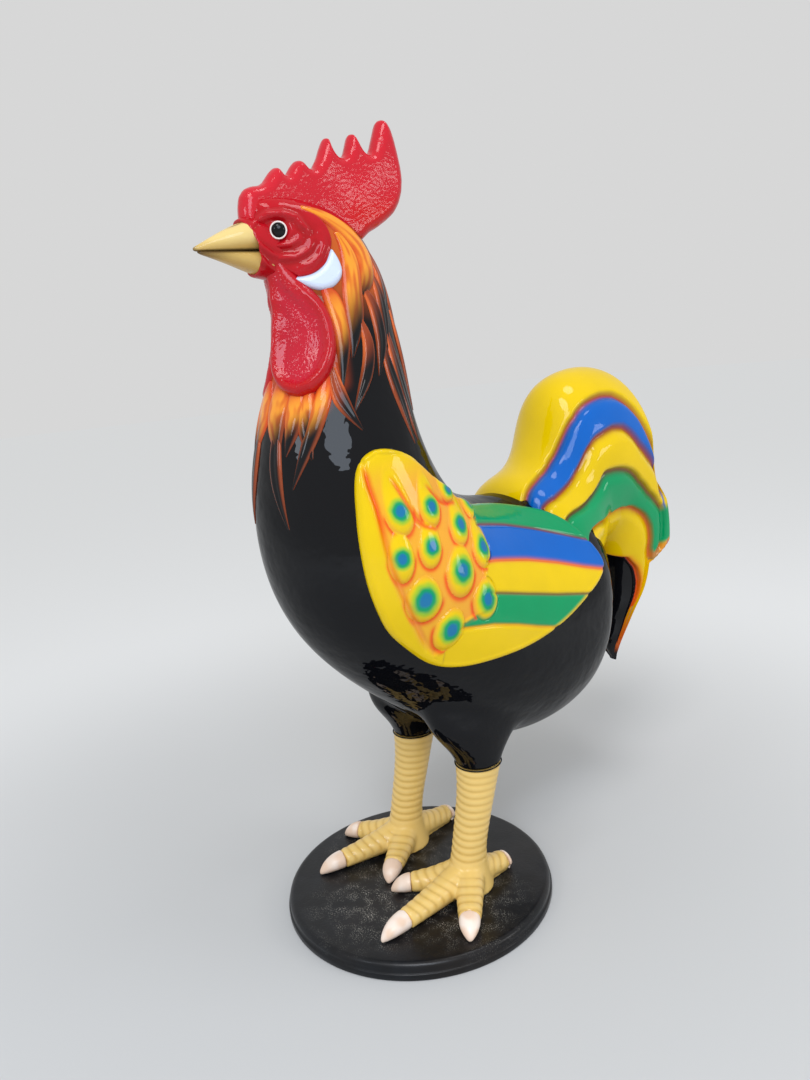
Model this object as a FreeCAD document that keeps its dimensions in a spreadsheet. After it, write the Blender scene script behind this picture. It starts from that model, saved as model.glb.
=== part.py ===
import FreeCAD, Part
import math
import os
from types import SimpleNamespace

import Sketcher
from FreeCAD import Placement, Rotation, Vector

# Painted glass-fibre cockerel on a round disc
#
# The origin is the centre of the disc's underside. +Z is up, the bird faces -Y and its left side is +X.
# Heights of the bird are measured from the disc's top, and each sub-part is then lifted by the disc's
# thickness. All lengths are in millimetres.

# Sizes that can be set by themselves
SIZES = {
    # disc
    "disc_diameter": 440,
    "disc_thickness": 26,
    "disc_band_height": 11,
    "disc_band_step": 2.5,
    "disc_edge_radius": 9,
    "disc_foot_chamfer": 1.5,
    # rods, nuts, washers and the bar that joins the rods
    "rod_diameter": 12,
    "rod_clearance": 0.5,
    "rod_end_inset": 3,
    "rod_bend_radius": 50,
    "rod_above_bar": 25,
    "nut_across_corners": 20,
    "nut_height": 10,
    "washer_diameter": 28,
    "washer_thickness": 2.5,
    "recess_diameter": 34,
    "recess_depth": 16,
    "bar_width": 40,
    "bar_thickness": 8,
    "bar_overhang": 24,
    "bar_corner_radius": 6,
    "bar_height": 300,
    # legs and feet
    "stance": 172,
    "thigh_end_height": 205,
    "thigh_end_diameter": 78,
    "thigh_length": 175,
    "shank_top_diameter": 74,
    "shank_diameter": 55,
    "ankle_height": 50,
    "leg_top_setback": 78,
    "ankle_setback": 42,
    "foot_length": 190,
    "toe_width": 42,
    "toe_height": 34,
    "claw_width": 33,
    "claw_height": 29,
    # body, neck and head
    "body_length": 600,
    "body_height": 1000,
    "body_width": 340,
    "body_wall": 5,
    "strip_width": 40,
    "strip_thickness": 3,
    # wings
    "wing_rise": 15,
    # tail
    "tail_length": 490,
    "tail_height": 555,
    "tail_width": 184,
    "tail_wall": 5,
    "tail_band_rise": 6,
    # comb
    "comb_length": 272,
    "comb_height": 188,
    "comb_seat_depth": 1.5,
    "comb_thickness": 34,
    "comb_tip_radius": 5.5,
    "comb_rim_radius": 5,
    # beak
    "beak_length": 92,
    "beak_height": 44,
    "beak_width": 62,
    "jaw_height": 34,
    # face, eyes, ear lobes and wattles
    "face_rise": 5,
    "eye_diameter": 20,
    "eye_bulge": 7,
    "eye_seat_depth": 1.5,
    "eye_ring_thickness": 3.2,
    "ear_rise": 9,
    "wattle_rise": 21,
    # hackle locks
    "lock_rise": 7,
    "lock_width": 26,
    # one overrun serves all cuts
    "overrun": 20,
}

# Ribs of the body from the rump over the saddle, breast and neck to the crown. Each rib lies in a plane
# that holds the X direction: back or nape point, then belly or throat point, as shares of the body's
# length and height, and its half width as a share of half the body's width.
BODY_RIB_SHARES = (
    (0.657, 0.508, 0.667, 0.450, 0.235),
    (0.637, 0.556, 0.660, 0.372, 0.576),
    (0.580, 0.592, 0.620, 0.287, 0.800),
    (0.500, 0.609, 0.553, 0.222, 0.941),
    (0.367, 0.610, 0.383, 0.196, 1.000),
    (0.237, 0.624, 0.175, 0.222, 1.012),
    (0.150, 0.655, -0.017, 0.300, 0.988),
    (0.103, 0.700, -0.187, 0.395, 0.929),
    (0.080, 0.745, -0.293, 0.500, 0.859),
    (0.072, 0.785, -0.328, 0.610, 0.765),
    (0.070, 0.825, -0.315, 0.712, 0.653),
    (0.068, 0.865, -0.275, 0.795, 0.535),
    (0.063, 0.905, -0.243, 0.862, 0.435),
    (0.053, 0.945, -0.230, 0.925, 0.376),
    (0.033, 0.985, -0.242, 0.975, 0.347),
    (-0.003, 1.022, -0.263, 1.015, 0.318),
    (-0.070, 1.050, -0.275, 1.043, 0.259),
    (-0.150, 1.064, -0.275, 1.062, 0.147),
)
LAST_RIB = len(BODY_RIB_SHARES) - 1
RIB_POINTS = 24
SECTIONS_PER_RIB = 2
# Stretches along the ribs that carry the tail and thighs, the seam strips and the head pieces
RUMP_PLACES = (0.0, 7.0)
STRIP_PLACES = (1.0, LAST_RIB - 1.0)
BEAK_SEAT_PLACES = (14.0, 16.0)
JAW_SEAT_PLACES = (13.5, 16.5)

# Thigh sections from the ring at its lower end up into the body: height above the ring as a share of the
# thigh's length, distance behind the ring as a share of the same, and radii across and along as shares
# of the ring's radius
THIGH_SHARES = (
    (0.000, 0.000, 1.00, 1.00),
    (0.150, 0.010, 1.10, 1.15),
    (0.350, 0.060, 1.45, 1.60),
    (0.650, 0.130, 1.80, 2.20),
    (1.000, 0.180, 1.80, 2.40),
)

# Shank sections from the thigh ring down to the sole: height as a share of the ring's height, place
# between ankle and leg top, and radii across and along as shares of the shank's radius
SHANK_SHARES = (
    (1.000, 1.00, 1.34, 1.34),
    (0.800, 0.78, 1.14, 1.18),
    (0.580, 0.45, 1.05, 1.07),
    (0.390, 0.16, 1.00, 1.04),
    (0.245, 0.00, 1.03, 1.12),
    (0.120, -0.10, 1.22, 1.34),
    (0.000, -0.14, 1.45, 1.60),
)

# Toe tips from the ankle's centre, outwards and backwards, as shares of the foot's length
TOE_TIP_SHARES = {
    "left": {
        "inner": (-0.40, -0.56),
        "middle": (0.08, -0.99),
        "outer": (0.55, -0.48),
        "hind": (0.01, 0.44),
    },
    "right": {
        "inner": (-0.41, -0.52),
        "middle": (0.14, -0.89),
        "outer": (0.53, -0.38),
        "hind": (0.05, 0.59),
    },
}
# Toe sections: place along the toe, width as a share of toe_width and height as a share of toe_height
TOE_SHARES = ((0.04, 1.00, 1.50), (0.22, 1.05, 1.30), (0.42, 1.00, 1.06), (0.58, 0.90, 0.95))
# Claw sections: place between the end of the toe and the tip, and shares of claw_width and claw_height
CLAW_SHARES = ((0.00, 1.00, 1.00), (0.35, 0.94, 0.92), (0.72, 0.66, 0.66), (1.00, 0.14, 0.20))
CLAW_START_SHARE = 0.74
HIND_CLAW_START_SHARE = 0.86

# Laid-on pieces of the left side: rows of rib number and the two angles round that rib between which the
# piece lies. Angles are in degrees from the nape or back towards the bird's left.
WING_SPANS = (
    (3.0, 67.0, 71.0), (3.3, 50.0, 73.5), (3.6, 41.0, 76.0), (4.0, 33.0, 80.0), (4.5, 28.0, 86.0),
    (5.0, 27.0, 93.0), (5.5, 29.0, 101.0), (6.0, 36.0, 112.0), (6.4, 43.0, 119.0), (7.0, 51.0, 124.0),
    (7.5, 56.0, 122.5), (8.0, 61.0, 118.0), (8.5, 67.0, 115.5), (9.0, 78.0, 111.0), (9.4, 91.0, 105.0),
)
FACE_SPANS = (
    (13.75, 123.0, 135.0), (14.0, 107.0, 145.0), (14.3, 97.0, 150.0), (14.6, 91.0, 150.0),
    (15.0, 87.0, 141.0), (15.3, 86.0, 140.0), (15.6, 87.0, 143.0), (15.85, 98.0, 140.0), (16.0, 114.0, 130.0),
)
EAR_SPANS = (
    (13.15, 112.0, 121.0), (13.28, 103.0, 129.0), (13.42, 99.0, 135.0), (13.58, 97.0, 133.0),
    (13.72, 96.0, 120.0), (14.0, 95.0, 104.0), (14.25, 95.5, 98.5),
)
WATTLE_SPANS = (
    (11.1, 133.0, 141.0), (11.3, 124.0, 151.0), (11.6, 117.0, 163.0), (12.0, 115.0, 169.0),
    (12.4, 118.0, 168.0), (12.8, 123.0, 167.0), (13.2, 129.0, 167.0), (13.6, 138.0, 156.0),
    (13.9, 148.0, 152.0),
)

# Ribs of the tail, fanned from the saddle over the arch to the hanging tip: outer point, inner point and
# half width, as shares of the tail's length, height and half width, measured from the saddle
TAIL_RIB_SHARES = (
    (0.073, -0.072, 0.367, -0.288, 0.652),
    (0.082, 0.022, 0.408, -0.261, 0.783),
    (0.139, 0.099, 0.459, -0.234, 0.870),
    (0.204, 0.202, 0.490, -0.216, 0.935),
    (0.290, 0.303, 0.506, -0.204, 0.978),
    (0.408, 0.364, 0.527, -0.198, 1.000),
    (0.551, 0.371, 0.543, -0.195, 1.000),
    (0.704, 0.324, 0.559, -0.202, 0.978),
    (0.847, 0.229, 0.576, -0.225, 0.957),
    (0.947, 0.099, 0.588, -0.261, 0.935),
    (0.992, -0.054, 0.594, -0.306, 0.891),
    (1.000, -0.180, 0.598, -0.360, 0.826),
    (0.963, -0.315, 0.596, -0.423, 0.717),
    (0.882, -0.411, 0.590, -0.477, 0.587),
    (0.812, -0.514, 0.588, -0.532, 0.435),
    (0.747, -0.586, 0.598, -0.582, 0.283),
    (0.690, -0.627, 0.629, -0.623, 0.109),
)
TAIL_SADDLE_SHARE = (0.333, 0.600)
# Angles round a tail rib, from its outer point, of the valleys between the bands and of their crests
TAIL_VALLEYS = (45, 70, 97, 125, 155)
TAIL_CRESTS = (0, 24, 57, 83, 111, 140)

# Outline of the comb from the side: lobe, five spikes with the notches between them, and the root, which
# lies in the head. Shares of its length and height, each with a share of the tip radius.
COMB_SHARES = (
    (0.000, 0.080, 1.0), (0.000, 0.400, 3.0), (0.103, 0.490, 2.5), (0.165, 0.447, 0.6),
    (0.243, 0.590, 1.0), (0.286, 0.489, 0.7), (0.371, 0.655, 1.1), (0.440, 0.548, 1.2),
    (0.548, 0.840, 1.0), (0.625, 0.645, 1.6), (0.691, 0.890, 1.0), (0.794, 0.685, 1.0),
    (0.890, 1.020, 1.3), (1.005, 0.640, 4.0), (0.970, 0.277, 4.0), (0.754, 0.030, 2.0),
)
# Root of the comb along the crown, from the nape to the brow, as rib and angle
COMB_ROOT = ((14.7, 0), (15.2, 0), (15.7, 0), (16.3, 0), (17.0, 0), (17.0, 180), (16.2, 180), (15.4, 180))
COMB_CORNER_SHARE = (-0.300, 1.000)

# Beak sections from the root to the tip: place along the beak, underside and top as shares of the beak's
# height above the mouth, and half width as a share of half its width
BEAK_SHARES = (
    (-0.14, -0.02, 1.00, 1.00),
    (0.00, -0.02, 1.00, 1.00),
    (0.24, -0.02, 0.90, 0.92),
    (0.50, 0.00, 0.64, 0.70),
    (0.76, 0.02, 0.38, 0.42),
    (1.00, 0.02, 0.12, 0.10),
)
# The same for the lower beak, down from the mouth, with the jaw's height
JAW_SHARES = (
    (-0.20, 0.04, 1.00, 0.86),
    (0.00, 0.04, 1.00, 0.86),
    (0.28, 0.04, 0.72, 0.74),
    (0.56, 0.02, 0.44, 0.52),
    (0.86, 0.00, 0.20, 0.24),
)
BEAK_ROOT_SHARE = (-0.257, 0.997)

# Rise across a laid-on piece with rounded edges, as shares of its rise
EDGED_SHARES = (0.55, 0.94, 1.00, 1.00, 1.00, 0.94, 0.55)

# Places on the skin are given as the number of the rib, with parts of a rib, and the angle round it in
# degrees, from the nape towards the bird's left
EYE_PLACE = (15.1, 137)

# Hackle locks: points along each, as rib, angle and width share
LOCKS = {
    "crown": ((15.8, 89, 0.3), (15.3, 71, 0.9), (14.6, 63, 1.0), (13.9, 61, 0.9), (13.4, 68, 0.7), (13.0, 84, 0.1)),
    "ear": ((14.4, 84, 0.3), (13.7, 85, 0.7), (12.9, 91, 0.9), (12.2, 94, 0.8), (11.5, 100, 0.1)),
    "cheek": ((13.0, 115, 0.3), (12.7, 112, 0.8), (12.2, 108, 0.6), (11.6, 108, 0.7), (10.9, 110, 0.1)),
    "side": ((12.9, 70, 0.3), (12.4, 69, 0.8), (11.7, 68, 0.9), (11.2, 73, 0.7), (10.8, 78, 0.1)),
    "curl": ((12.0, 83, 0.2), (11.7, 84, 0.6), (11.1, 88, 0.9), (10.7, 94, 0.7), (10.4, 102, 0.1)),
    "nape_high": ((14.3, 31, 0.2), (13.6, 30, 0.8), (12.9, 33, 0.9), (12.2, 42, 0.1)),
    "nape": ((11.9, 50, 0.3), (10.9, 49, 0.8), (9.9, 45, 0.9), (9.1, 42, 0.7), (8.5, 41, 0.1)),
    "throat": ((11.25, 166, 0.6), (11.05, 166, 1.1), (10.7, 166, 1.2), (10.3, 162, 0.1)),
    "breast": ((11.05, 125, 0.4), (10.7, 127, 0.9), (10.35, 132, 0.8), (10.1, 138, 0.6), (9.9, 147, 0.1)),
    "shoulder": ((11.1, 115, 0.3), (10.9, 112, 0.6), (10.5, 107, 0.6), (10.0, 98, 0.1)),
}
# Rise of a lock across its width, as shares of lock_rise
LOCK_RISE_SHARES = (0.12, 0.70, 1.00, 0.70, 0.12)

SIDES = {"left": 1, "right": -1}

doc = FreeCAD.newDocument("cockerel")


# Spreadsheet

def make_sheet():
    """Put every size in the document's sheet, each with its own alias."""
    sheet = doc.addObject("Spreadsheet::Sheet", "Sizes")
    for row, (name, value) in enumerate(SIZES.items(), start=1):
        sheet.set("A%d" % row, name)
        sheet.set("B%d" % row, str(value))
        sheet.setAlias("B%d" % row, name)
    doc.recompute()
    return sheet


SHEET = make_sheet()
size = SimpleNamespace(**{name: float(SHEET.get(name)) for name in SIZES})


def bind(thing, **expressions):
    """Tie properties of a document object to expressions on the sheet."""
    for name, expression in expressions.items():
        thing.setExpression(name, expression)


def feature(name, shape):
    """Document object for a shape made here, lifted on to the disc."""
    thing = doc.addObject("Part::Feature", name)
    thing.Shape = shape
    thing.Placement = Placement(Vector(0, 0, size.disc_thickness), Rotation())
    return thing


def lift(thing):
    """Stand an object's own origin on the disc's top."""
    thing.setExpression(".Placement.Base.z", "Sizes.disc_thickness")


def boolean(kind, name, base, tool):
    """Part::Cut, Part::Common or Part::Fuse of two document objects."""
    thing = doc.addObject("Part::" + kind, name)
    thing.Base = base
    thing.Tool = tool
    return thing


# Curves and lofts

def closed_curve(points):
    """Smooth closed wire through points, with one tangent where it meets itself."""
    tangent = points[1] - points[-1]
    curve = Part.BSplineCurve()
    curve.interpolate(Points=points + [points[0]], InitialTangent=tangent, FinalTangent=tangent)
    return Part.Wire([curve.toShape()])


def open_curve(points):
    """Smooth edge through points."""
    curve = Part.BSplineCurve()
    curve.interpolate(Points=points)
    return curve.toShape()


def smooth_table(rows):
    """Curves through the columns of a rib table, three columns to a curve, evaluated at a rib's number."""
    places = [float(number) for number in range(len(rows))]
    curves = []
    for first in range(0, len(rows[0]), 3):
        columns = [row[first:first + 3] for row in rows]
        points = [Vector(*(list(column) + [0, 0])[:3]) for column in columns]
        curve = Part.BSplineCurve()
        curve.interpolate(Points=points, Parameters=places)
        curves.append(curve)
    return curves


def table_at(curves, place, columns):
    """Row of a smoothed table at a place between its ribs."""
    values = []
    for curve in curves:
        values.extend(curve.value(place))
    return values[:columns]


def ellipse_wire(centre, across, along, points=12):
    """Level ellipse as a smooth closed wire."""
    ring = []
    for step in range(points):
        turn = 2 * math.pi * step / points
        ring.append(centre + Vector(across * math.sin(turn), along * math.cos(turn), 0))
    return closed_curve(ring)


def loft(wires):
    """Closed solid through sections."""
    return Part.makeLoft(wires, True, False)


def mirrored(shape):
    """The same shape on the other side of the middle plane."""
    return shape.mirror(Vector(0, 0, 0), Vector(1, 0, 0))


# Body surface

BODY_ROWS = [
    (
        size.body_length * row[0],
        size.body_height * row[1],
        size.body_length * row[2],
        size.body_height * row[3],
        size.body_width / 2 * row[4],
    )
    for row in BODY_RIB_SHARES
]
BODY_TABLE = smooth_table(BODY_ROWS)


def rib_point(row, angle, growth=0.0):
    """Point of a rib at an angle in degrees, with the rib grown by a thickness."""
    back_y, back_z, front_y, front_z, half = row
    middle = Vector(0, (back_y + front_y) / 2, (back_z + front_z) / 2)
    arm = Vector(0, (back_y - front_y) / 2, (back_z - front_z) / 2)
    reach = arm.Length
    turn = math.radians(angle)
    across = 0.0 if angle in (0, 180) else (half + growth) * math.sin(turn)
    return middle + arm * ((reach + growth) / reach * math.cos(turn)) + Vector(across, 0, 0)


def skin(rib, angle):
    """Point of the body's surface at a rib number and an angle."""
    return rib_point(table_at(BODY_TABLE, rib, 5), angle)


def skin_frame(rib, angle):
    """Point of the body's surface and its outward direction."""
    step = 0.05
    point = skin(rib, angle)
    along = skin(rib + step, angle) - skin(rib - step, angle)
    around = skin(rib, angle + 1) - skin(rib, angle - 1)
    outward = along.cross(around)
    outward.normalize()
    if outward.x * math.sin(math.radians(angle)) < 0:
        outward = outward * -1
    return point, outward


def places_between(first, last):
    """Evenly spaced places along the ribs, close enough for a smooth surface."""
    steps = max(1, round((last - first) * SECTIONS_PER_RIB))
    return [first + (last - first) * step / steps for step in range(steps + 1)]


def body_loft(first, last):
    """Closed stretch of the body between two places along its ribs."""
    wires = []
    angles = [360 * (step + 0.5) / RIB_POINTS for step in range(RIB_POINTS)]
    for place in places_between(first, last):
        row = table_at(BODY_TABLE, place, 5)
        wires.append(closed_curve([rib_point(row, angle) for angle in angles]))
    return loft(wires)


def band_wire(row, profile, inside):
    """Closed section of a layer on a rib, or under it.

    The profile is a list of angles with the growth of the outer face at each; the inner face is grown by
    the inside thickness at the same angles.
    """
    outer = [rib_point(row, angle, growth) for angle, growth in profile]
    inner = [rib_point(row, angle, inside) for angle, _ in reversed(profile)]
    return Part.Wire([
        open_curve(outer),
        Part.LineSegment(outer[-1], inner[0]).toShape(),
        open_curve(inner),
        Part.LineSegment(inner[-1], outer[0]).toShape(),
    ])


def even_angles(first, last, count):
    """Angles from first to last, both included."""
    return [first + (last - first) * step / (count - 1) for step in range(count)]


def half_shell(table, last_rib, wall, profile_at):
    """Left half of a hollow shell round smoothed ribs, with a wall and an outer profile at each rib."""
    wires = []
    for place in places_between(0, last_rib):
        row = table_at(table, place, 5)
        wires.append(band_wire(row, profile_at(row), -wall))
    return loft(wires)


def laid_on(spans, rise_shares, rise):
    """Piece on the left of the body between two angles at each rib.

    The shares give its rise across from the first angle to the second, and it is thinner at its ends.
    """
    table = smooth_table(spans)
    wires = []
    steps = (len(spans) - 1) * SECTIONS_PER_RIB
    for step in range(steps + 1):
        rib, first, last = table_at(table, step / SECTIONS_PER_RIB, 3)
        row = table_at(BODY_TABLE, rib, 5)
        ends = min(1.0, rise_shares[0] + 4 * min(step, steps - step) / steps)
        angles = even_angles(first, last, len(rise_shares))
        growths = [rise * ends * share for share in rise_shares]
        wires.append(band_wire(row, list(zip(angles, growths)), 0))
    return loft(wires)


def lock_spans(places):
    """Spans of a lock from its places and width shares."""
    spans = []
    for rib, angle, wide in places:
        half_width = table_at(BODY_TABLE, rib, 5)[4]
        reach = math.degrees(size.lock_width / 2 * wide / half_width)
        spans.append((rib, angle - reach, angle + reach))
    return spans


def seam_strip(middle_angle):
    """Strip on the inside of the body's wall, along the back (angle 0) or the belly (angle 180)."""
    wires = []
    for place in places_between(*STRIP_PLACES):
        row = table_at(BODY_TABLE, place, 5)
        inner_half = row[4] - size.body_wall
        reach = math.degrees(math.asin(size.strip_width / 2 / inner_half))
        angles = even_angles(middle_angle - reach, middle_angle + reach, 6)
        profile = [(angle, -size.body_wall) for angle in angles]
        wires.append(band_wire(row, profile, -size.body_wall - size.strip_thickness))
    return loft(wires)


def thigh_loft(side):
    """Thigh of one side, from its ring up into the body."""
    wires = []
    ring = size.thigh_end_diameter / 2
    for height, back, across, along in THIGH_SHARES:
        centre = Vector(
            SIDES[side] * size.stance / 2,
            size.leg_top_setback + back * size.thigh_length,
            size.thigh_end_height + height * size.thigh_length,
        )
        wires.append(ellipse_wire(centre, ring * across, ring * along))
    return loft(wires)


rump = body_loft(*RUMP_PLACES)


def largest(shape):
    """Largest solid of a shape."""
    return max(shape.Solids, key=lambda solid: solid.Volume)


# Rods and their seats

def rod_line(side):
    """Middle line of a rod: up through the disc, back along the shank, up into the body."""
    x = SIDES[side] * size.stance / 2
    low = size.rod_end_inset - size.disc_thickness
    top = size.bar_height + size.bar_thickness + size.washer_thickness + size.nut_height + size.rod_above_bar
    corners = [
        Vector(x, size.ankle_setback, low),
        Vector(x, size.ankle_setback, size.ankle_height),
        Vector(x, size.leg_top_setback, size.thigh_end_height * 0.8),
        Vector(x, size.leg_top_setback, top),
    ]
    edges = []
    start = corners[0]
    for before, corner, after in zip(corners, corners[1:], corners[2:]):
        down = (before - corner).normalize()
        up = (after - corner).normalize()
        half_angle = down.getAngle(up) / 2
        reach = size.rod_bend_radius / math.tan(half_angle)
        middle = (down + up).normalize()
        centre = corner + middle * (size.rod_bend_radius / math.sin(half_angle))
        arc_start = corner + down * reach
        arc_end = corner + up * reach
        edges.append(Part.LineSegment(start, arc_start).toShape())
        edges.append(Part.Arc(arc_start, centre - middle * size.rod_bend_radius, arc_end).toShape())
        start = arc_end
    edges.append(Part.LineSegment(start, corners[-1]).toShape())
    return Part.Wire(edges)


def make_sweep(name, line, side, diameter):
    """Round bar of a diameter along a rod's line."""
    circle = doc.addObject("Part::Circle", name + "_section")
    bind(circle, Radius="(%s) / 2" % diameter)
    circle.Placement = Placement(line.Shape.Vertexes[0].Point, Rotation())
    sweep = doc.addObject("Part::Sweep", name)
    sweep.Sections = [circle]
    sweep.Spine = (line, ["Edge%d" % (number + 1) for number in range(len(line.Shape.Edges))])
    sweep.Solid = True
    return sweep


# Sketched pieces

def origin_plane(body, role):
    """Origin plane of a body, found by its role."""
    return next(plane for plane in body.Origin.OriginFeatures if plane.Role == role)


def new_sketch(body, name, role):
    """Empty sketch on one of the body's origin planes."""
    sketch = body.newObject("Sketcher::SketchObject", name)
    sketch.AttachmentSupport = [(origin_plane(body, role), "")]
    sketch.MapMode = "FlatFace"
    return sketch


def constrain(sketch, kind, geometry, point, name, expression):
    """Distance of a sketch point from the sketch's origin, tied to the sheet."""
    value = SHEET.evalExpression(expression)
    index = sketch.addConstraint(Sketcher.Constraint(kind, -1, 1, geometry, point, value))
    sketch.renameConstraint(index, name)
    sketch.setExpression("Constraints." + name, expression)


def add_polygon(sketch, corners):
    """Closed outline of straight sides through corners given as pairs of expressions."""
    places = [Vector(SHEET.evalExpression(x), SHEET.evalExpression(y), 0) for x, y in corners]
    count = len(places)
    for number in range(count):
        sketch.addGeometry(Part.LineSegment(places[number], places[(number + 1) % count]))
    for number in range(count):
        sketch.addConstraint(Sketcher.Constraint("Coincident", number, 2, (number + 1) % count, 1))
    for number, (x, y) in enumerate(corners):
        if x == "0":
            sketch.addConstraint(Sketcher.Constraint("PointOnObject", number, 1, -2))
        else:
            constrain(sketch, "DistanceX", number, 1, "corner%d_x" % number, x)
        if y == "0":
            sketch.addConstraint(Sketcher.Constraint("PointOnObject", number, 1, -1))
        else:
            constrain(sketch, "DistanceY", number, 1, "corner%d_y" % number, y)


def add_circle(sketch, name, x, y, diameter):
    """Circle in a sketch, its centre and diameter given as expressions."""
    centre = Vector(SHEET.evalExpression(x), SHEET.evalExpression(y), 0)
    radius = SHEET.evalExpression("(%s) / 2" % diameter)
    index = sketch.addGeometry(Part.Circle(centre, Vector(0, 0, 1), radius))
    if x == "0":
        sketch.addConstraint(Sketcher.Constraint("PointOnObject", index, 3, -2))
    else:
        constrain(sketch, "DistanceX", index, 3, name + "_x", x)
    if y == "0":
        sketch.addConstraint(Sketcher.Constraint("PointOnObject", index, 3, -1))
    else:
        constrain(sketch, "DistanceY", index, 3, name + "_y", y)
    number = sketch.addConstraint(Sketcher.Constraint("Diameter", index, 2 * radius))
    sketch.renameConstraint(number, name + "_diameter")
    sketch.setExpression("Constraints." + name + "_diameter", diameter)


def circular_edges(shape, radius, height):
    """Names of the level circular edges of a radius at a height."""
    names = []
    for number, edge in enumerate(shape.Edges, start=1):
        if edge.Curve.TypeId != "Part::GeomCircle":
            continue
        same_radius = math.isclose(edge.Curve.Radius, radius, rel_tol=1e-6)
        if same_radius and math.isclose(edge.Curve.Center.z, height, rel_tol=1e-6, abs_tol=1e-6):
            names.append("Edge%d" % number)
    return names


def make_disc():
    """Round disc with a stepped lower band, a rounded top edge and two counterbored rod holes."""
    body = doc.addObject("PartDesign::Body", "base_disc_body")
    profile = new_sketch(body, "disc_profile", "XZ_Plane")
    add_polygon(profile, [
        ("0", "0"),
        ("Sizes.disc_diameter / 2", "0"),
        ("Sizes.disc_diameter / 2", "Sizes.disc_band_height"),
        ("Sizes.disc_diameter / 2 - Sizes.disc_band_step", "Sizes.disc_band_height"),
        ("Sizes.disc_diameter / 2 - Sizes.disc_band_step", "Sizes.disc_thickness"),
        ("0", "Sizes.disc_thickness"),
    ])
    turned = body.newObject("PartDesign::Revolution", "disc_turned")
    turned.Profile = profile
    turned.ReferenceAxis = (profile, ["V_Axis"])
    turned.Angle = 360
    doc.recompute()
    volumes = [turned.Shape.Volume]

    for name, diameter, depth in (
        ("rod_holes", "Sizes.rod_diameter + 2 * Sizes.rod_clearance", "Sizes.disc_thickness"),
        ("recesses", "Sizes.recess_diameter", "Sizes.recess_depth"),
    ):
        sketch = new_sketch(body, name + "_sketch", "XY_Plane")
        for side, sign in SIDES.items():
            add_circle(sketch, side, "%d * Sizes.stance / 2" % sign, "Sizes.ankle_setback", diameter)
        pocket = body.newObject("PartDesign::Pocket", name)
        pocket.Profile = sketch
        pocket.Reversed = True
        bind(pocket, Length=depth)
        doc.recompute()
        volumes.append(pocket.Shape.Volume)
    if not volumes[0] > volumes[1] > volumes[2]:
        raise RuntimeError("a pocket of the disc cuts nothing")

    edge = body.newObject("PartDesign::Fillet", "disc_top_edge")
    upper_radius = size.disc_diameter / 2 - size.disc_band_step
    edge.Base = (pocket, circular_edges(pocket.Shape, upper_radius, size.disc_thickness))
    bind(edge, Radius="Sizes.disc_edge_radius")
    doc.recompute()
    foot = body.newObject("PartDesign::Chamfer", "disc_foot_edge")
    foot.Base = (edge, circular_edges(edge.Shape, size.disc_diameter / 2, 0))
    bind(foot, Size="Sizes.disc_foot_chamfer")
    body.Label = "base_disc"
    return body


def make_bar():
    """Flat bar with a hole for each rod."""
    body = doc.addObject("PartDesign::Body", "spreader_bar_body")
    sketch = new_sketch(body, "bar_outline", "XY_Plane")
    half = "(Sizes.stance / 2 + Sizes.bar_overhang)"
    front = "(Sizes.leg_top_setback - Sizes.bar_width / 2)"
    back = "(Sizes.leg_top_setback + Sizes.bar_width / 2)"
    add_polygon(sketch, [("-" + half, front), (half, front), (half, back), ("-" + half, back)])
    for side, sign in SIDES.items():
        add_circle(sketch, side, "%d * Sizes.stance / 2" % sign, "Sizes.leg_top_setback",
                   "Sizes.rod_diameter + 2 * Sizes.rod_clearance")
    pad = body.newObject("PartDesign::Pad", "bar_pad")
    pad.Profile = sketch
    bind(pad, Length="Sizes.bar_thickness")
    doc.recompute()
    corners = body.newObject("PartDesign::Fillet", "bar_corners")
    uprights = [
        "Edge%d" % number
        for number, edge in enumerate(pad.Shape.Edges, start=1)
        if edge.Curve.TypeId == "Part::GeomLine" and abs(edge.tangentAt(edge.FirstParameter).z) > 0.9
    ]
    corners.Base = (pad, uprights)
    bind(corners, Radius="Sizes.bar_corner_radius")
    body.setExpression(".Placement.Base.z", "Sizes.disc_thickness + Sizes.bar_height")
    body.Label = "spreader_bar"
    return body


def make_comb():
    """Plate of the comb, its rims rounded, with its root along the crown."""
    body = doc.addObject("PartDesign::Body", "comb_body")
    sketch = new_sketch(body, "comb_outline", "YZ_Plane")
    corner = Vector(COMB_CORNER_SHARE[0] * size.body_length, COMB_CORNER_SHARE[1] * size.body_height, 0)
    points = [corner + Vector(y * size.comb_length, z * size.comb_height, 0) for y, z, _ in COMB_SHARES]
    radii = [size.comb_tip_radius * share for _, _, share in COMB_SHARES]
    for rib, angle in COMB_ROOT:
        seat = rib_point(table_at(BODY_TABLE, rib, 5), angle, -size.comb_seat_depth)
        points.append(Vector(seat.y, seat.z, 0))
        radii.append(0)
    sketch.addGeometry(rounded_outline(points, radii))
    pad = body.newObject("PartDesign::Pad", "comb_pad")
    pad.Profile = sketch
    pad.SideType = "Symmetric"
    bind(pad, Length="Sizes.comb_thickness")
    doc.recompute()
    rim = body.newObject("PartDesign::Fillet", "comb_rims")
    flats = [
        "Face%d" % number
        for number, face in enumerate(pad.Shape.Faces, start=1)
        if abs(face.normalAt(0, 0).x) > 0.999 and face.Surface.TypeId == "Part::GeomPlane"
    ]
    rim.Base = (pad, flats)
    bind(rim, Radius="Sizes.comb_rim_radius")
    lift(body)
    body.Label = "comb"
    return body


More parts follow.
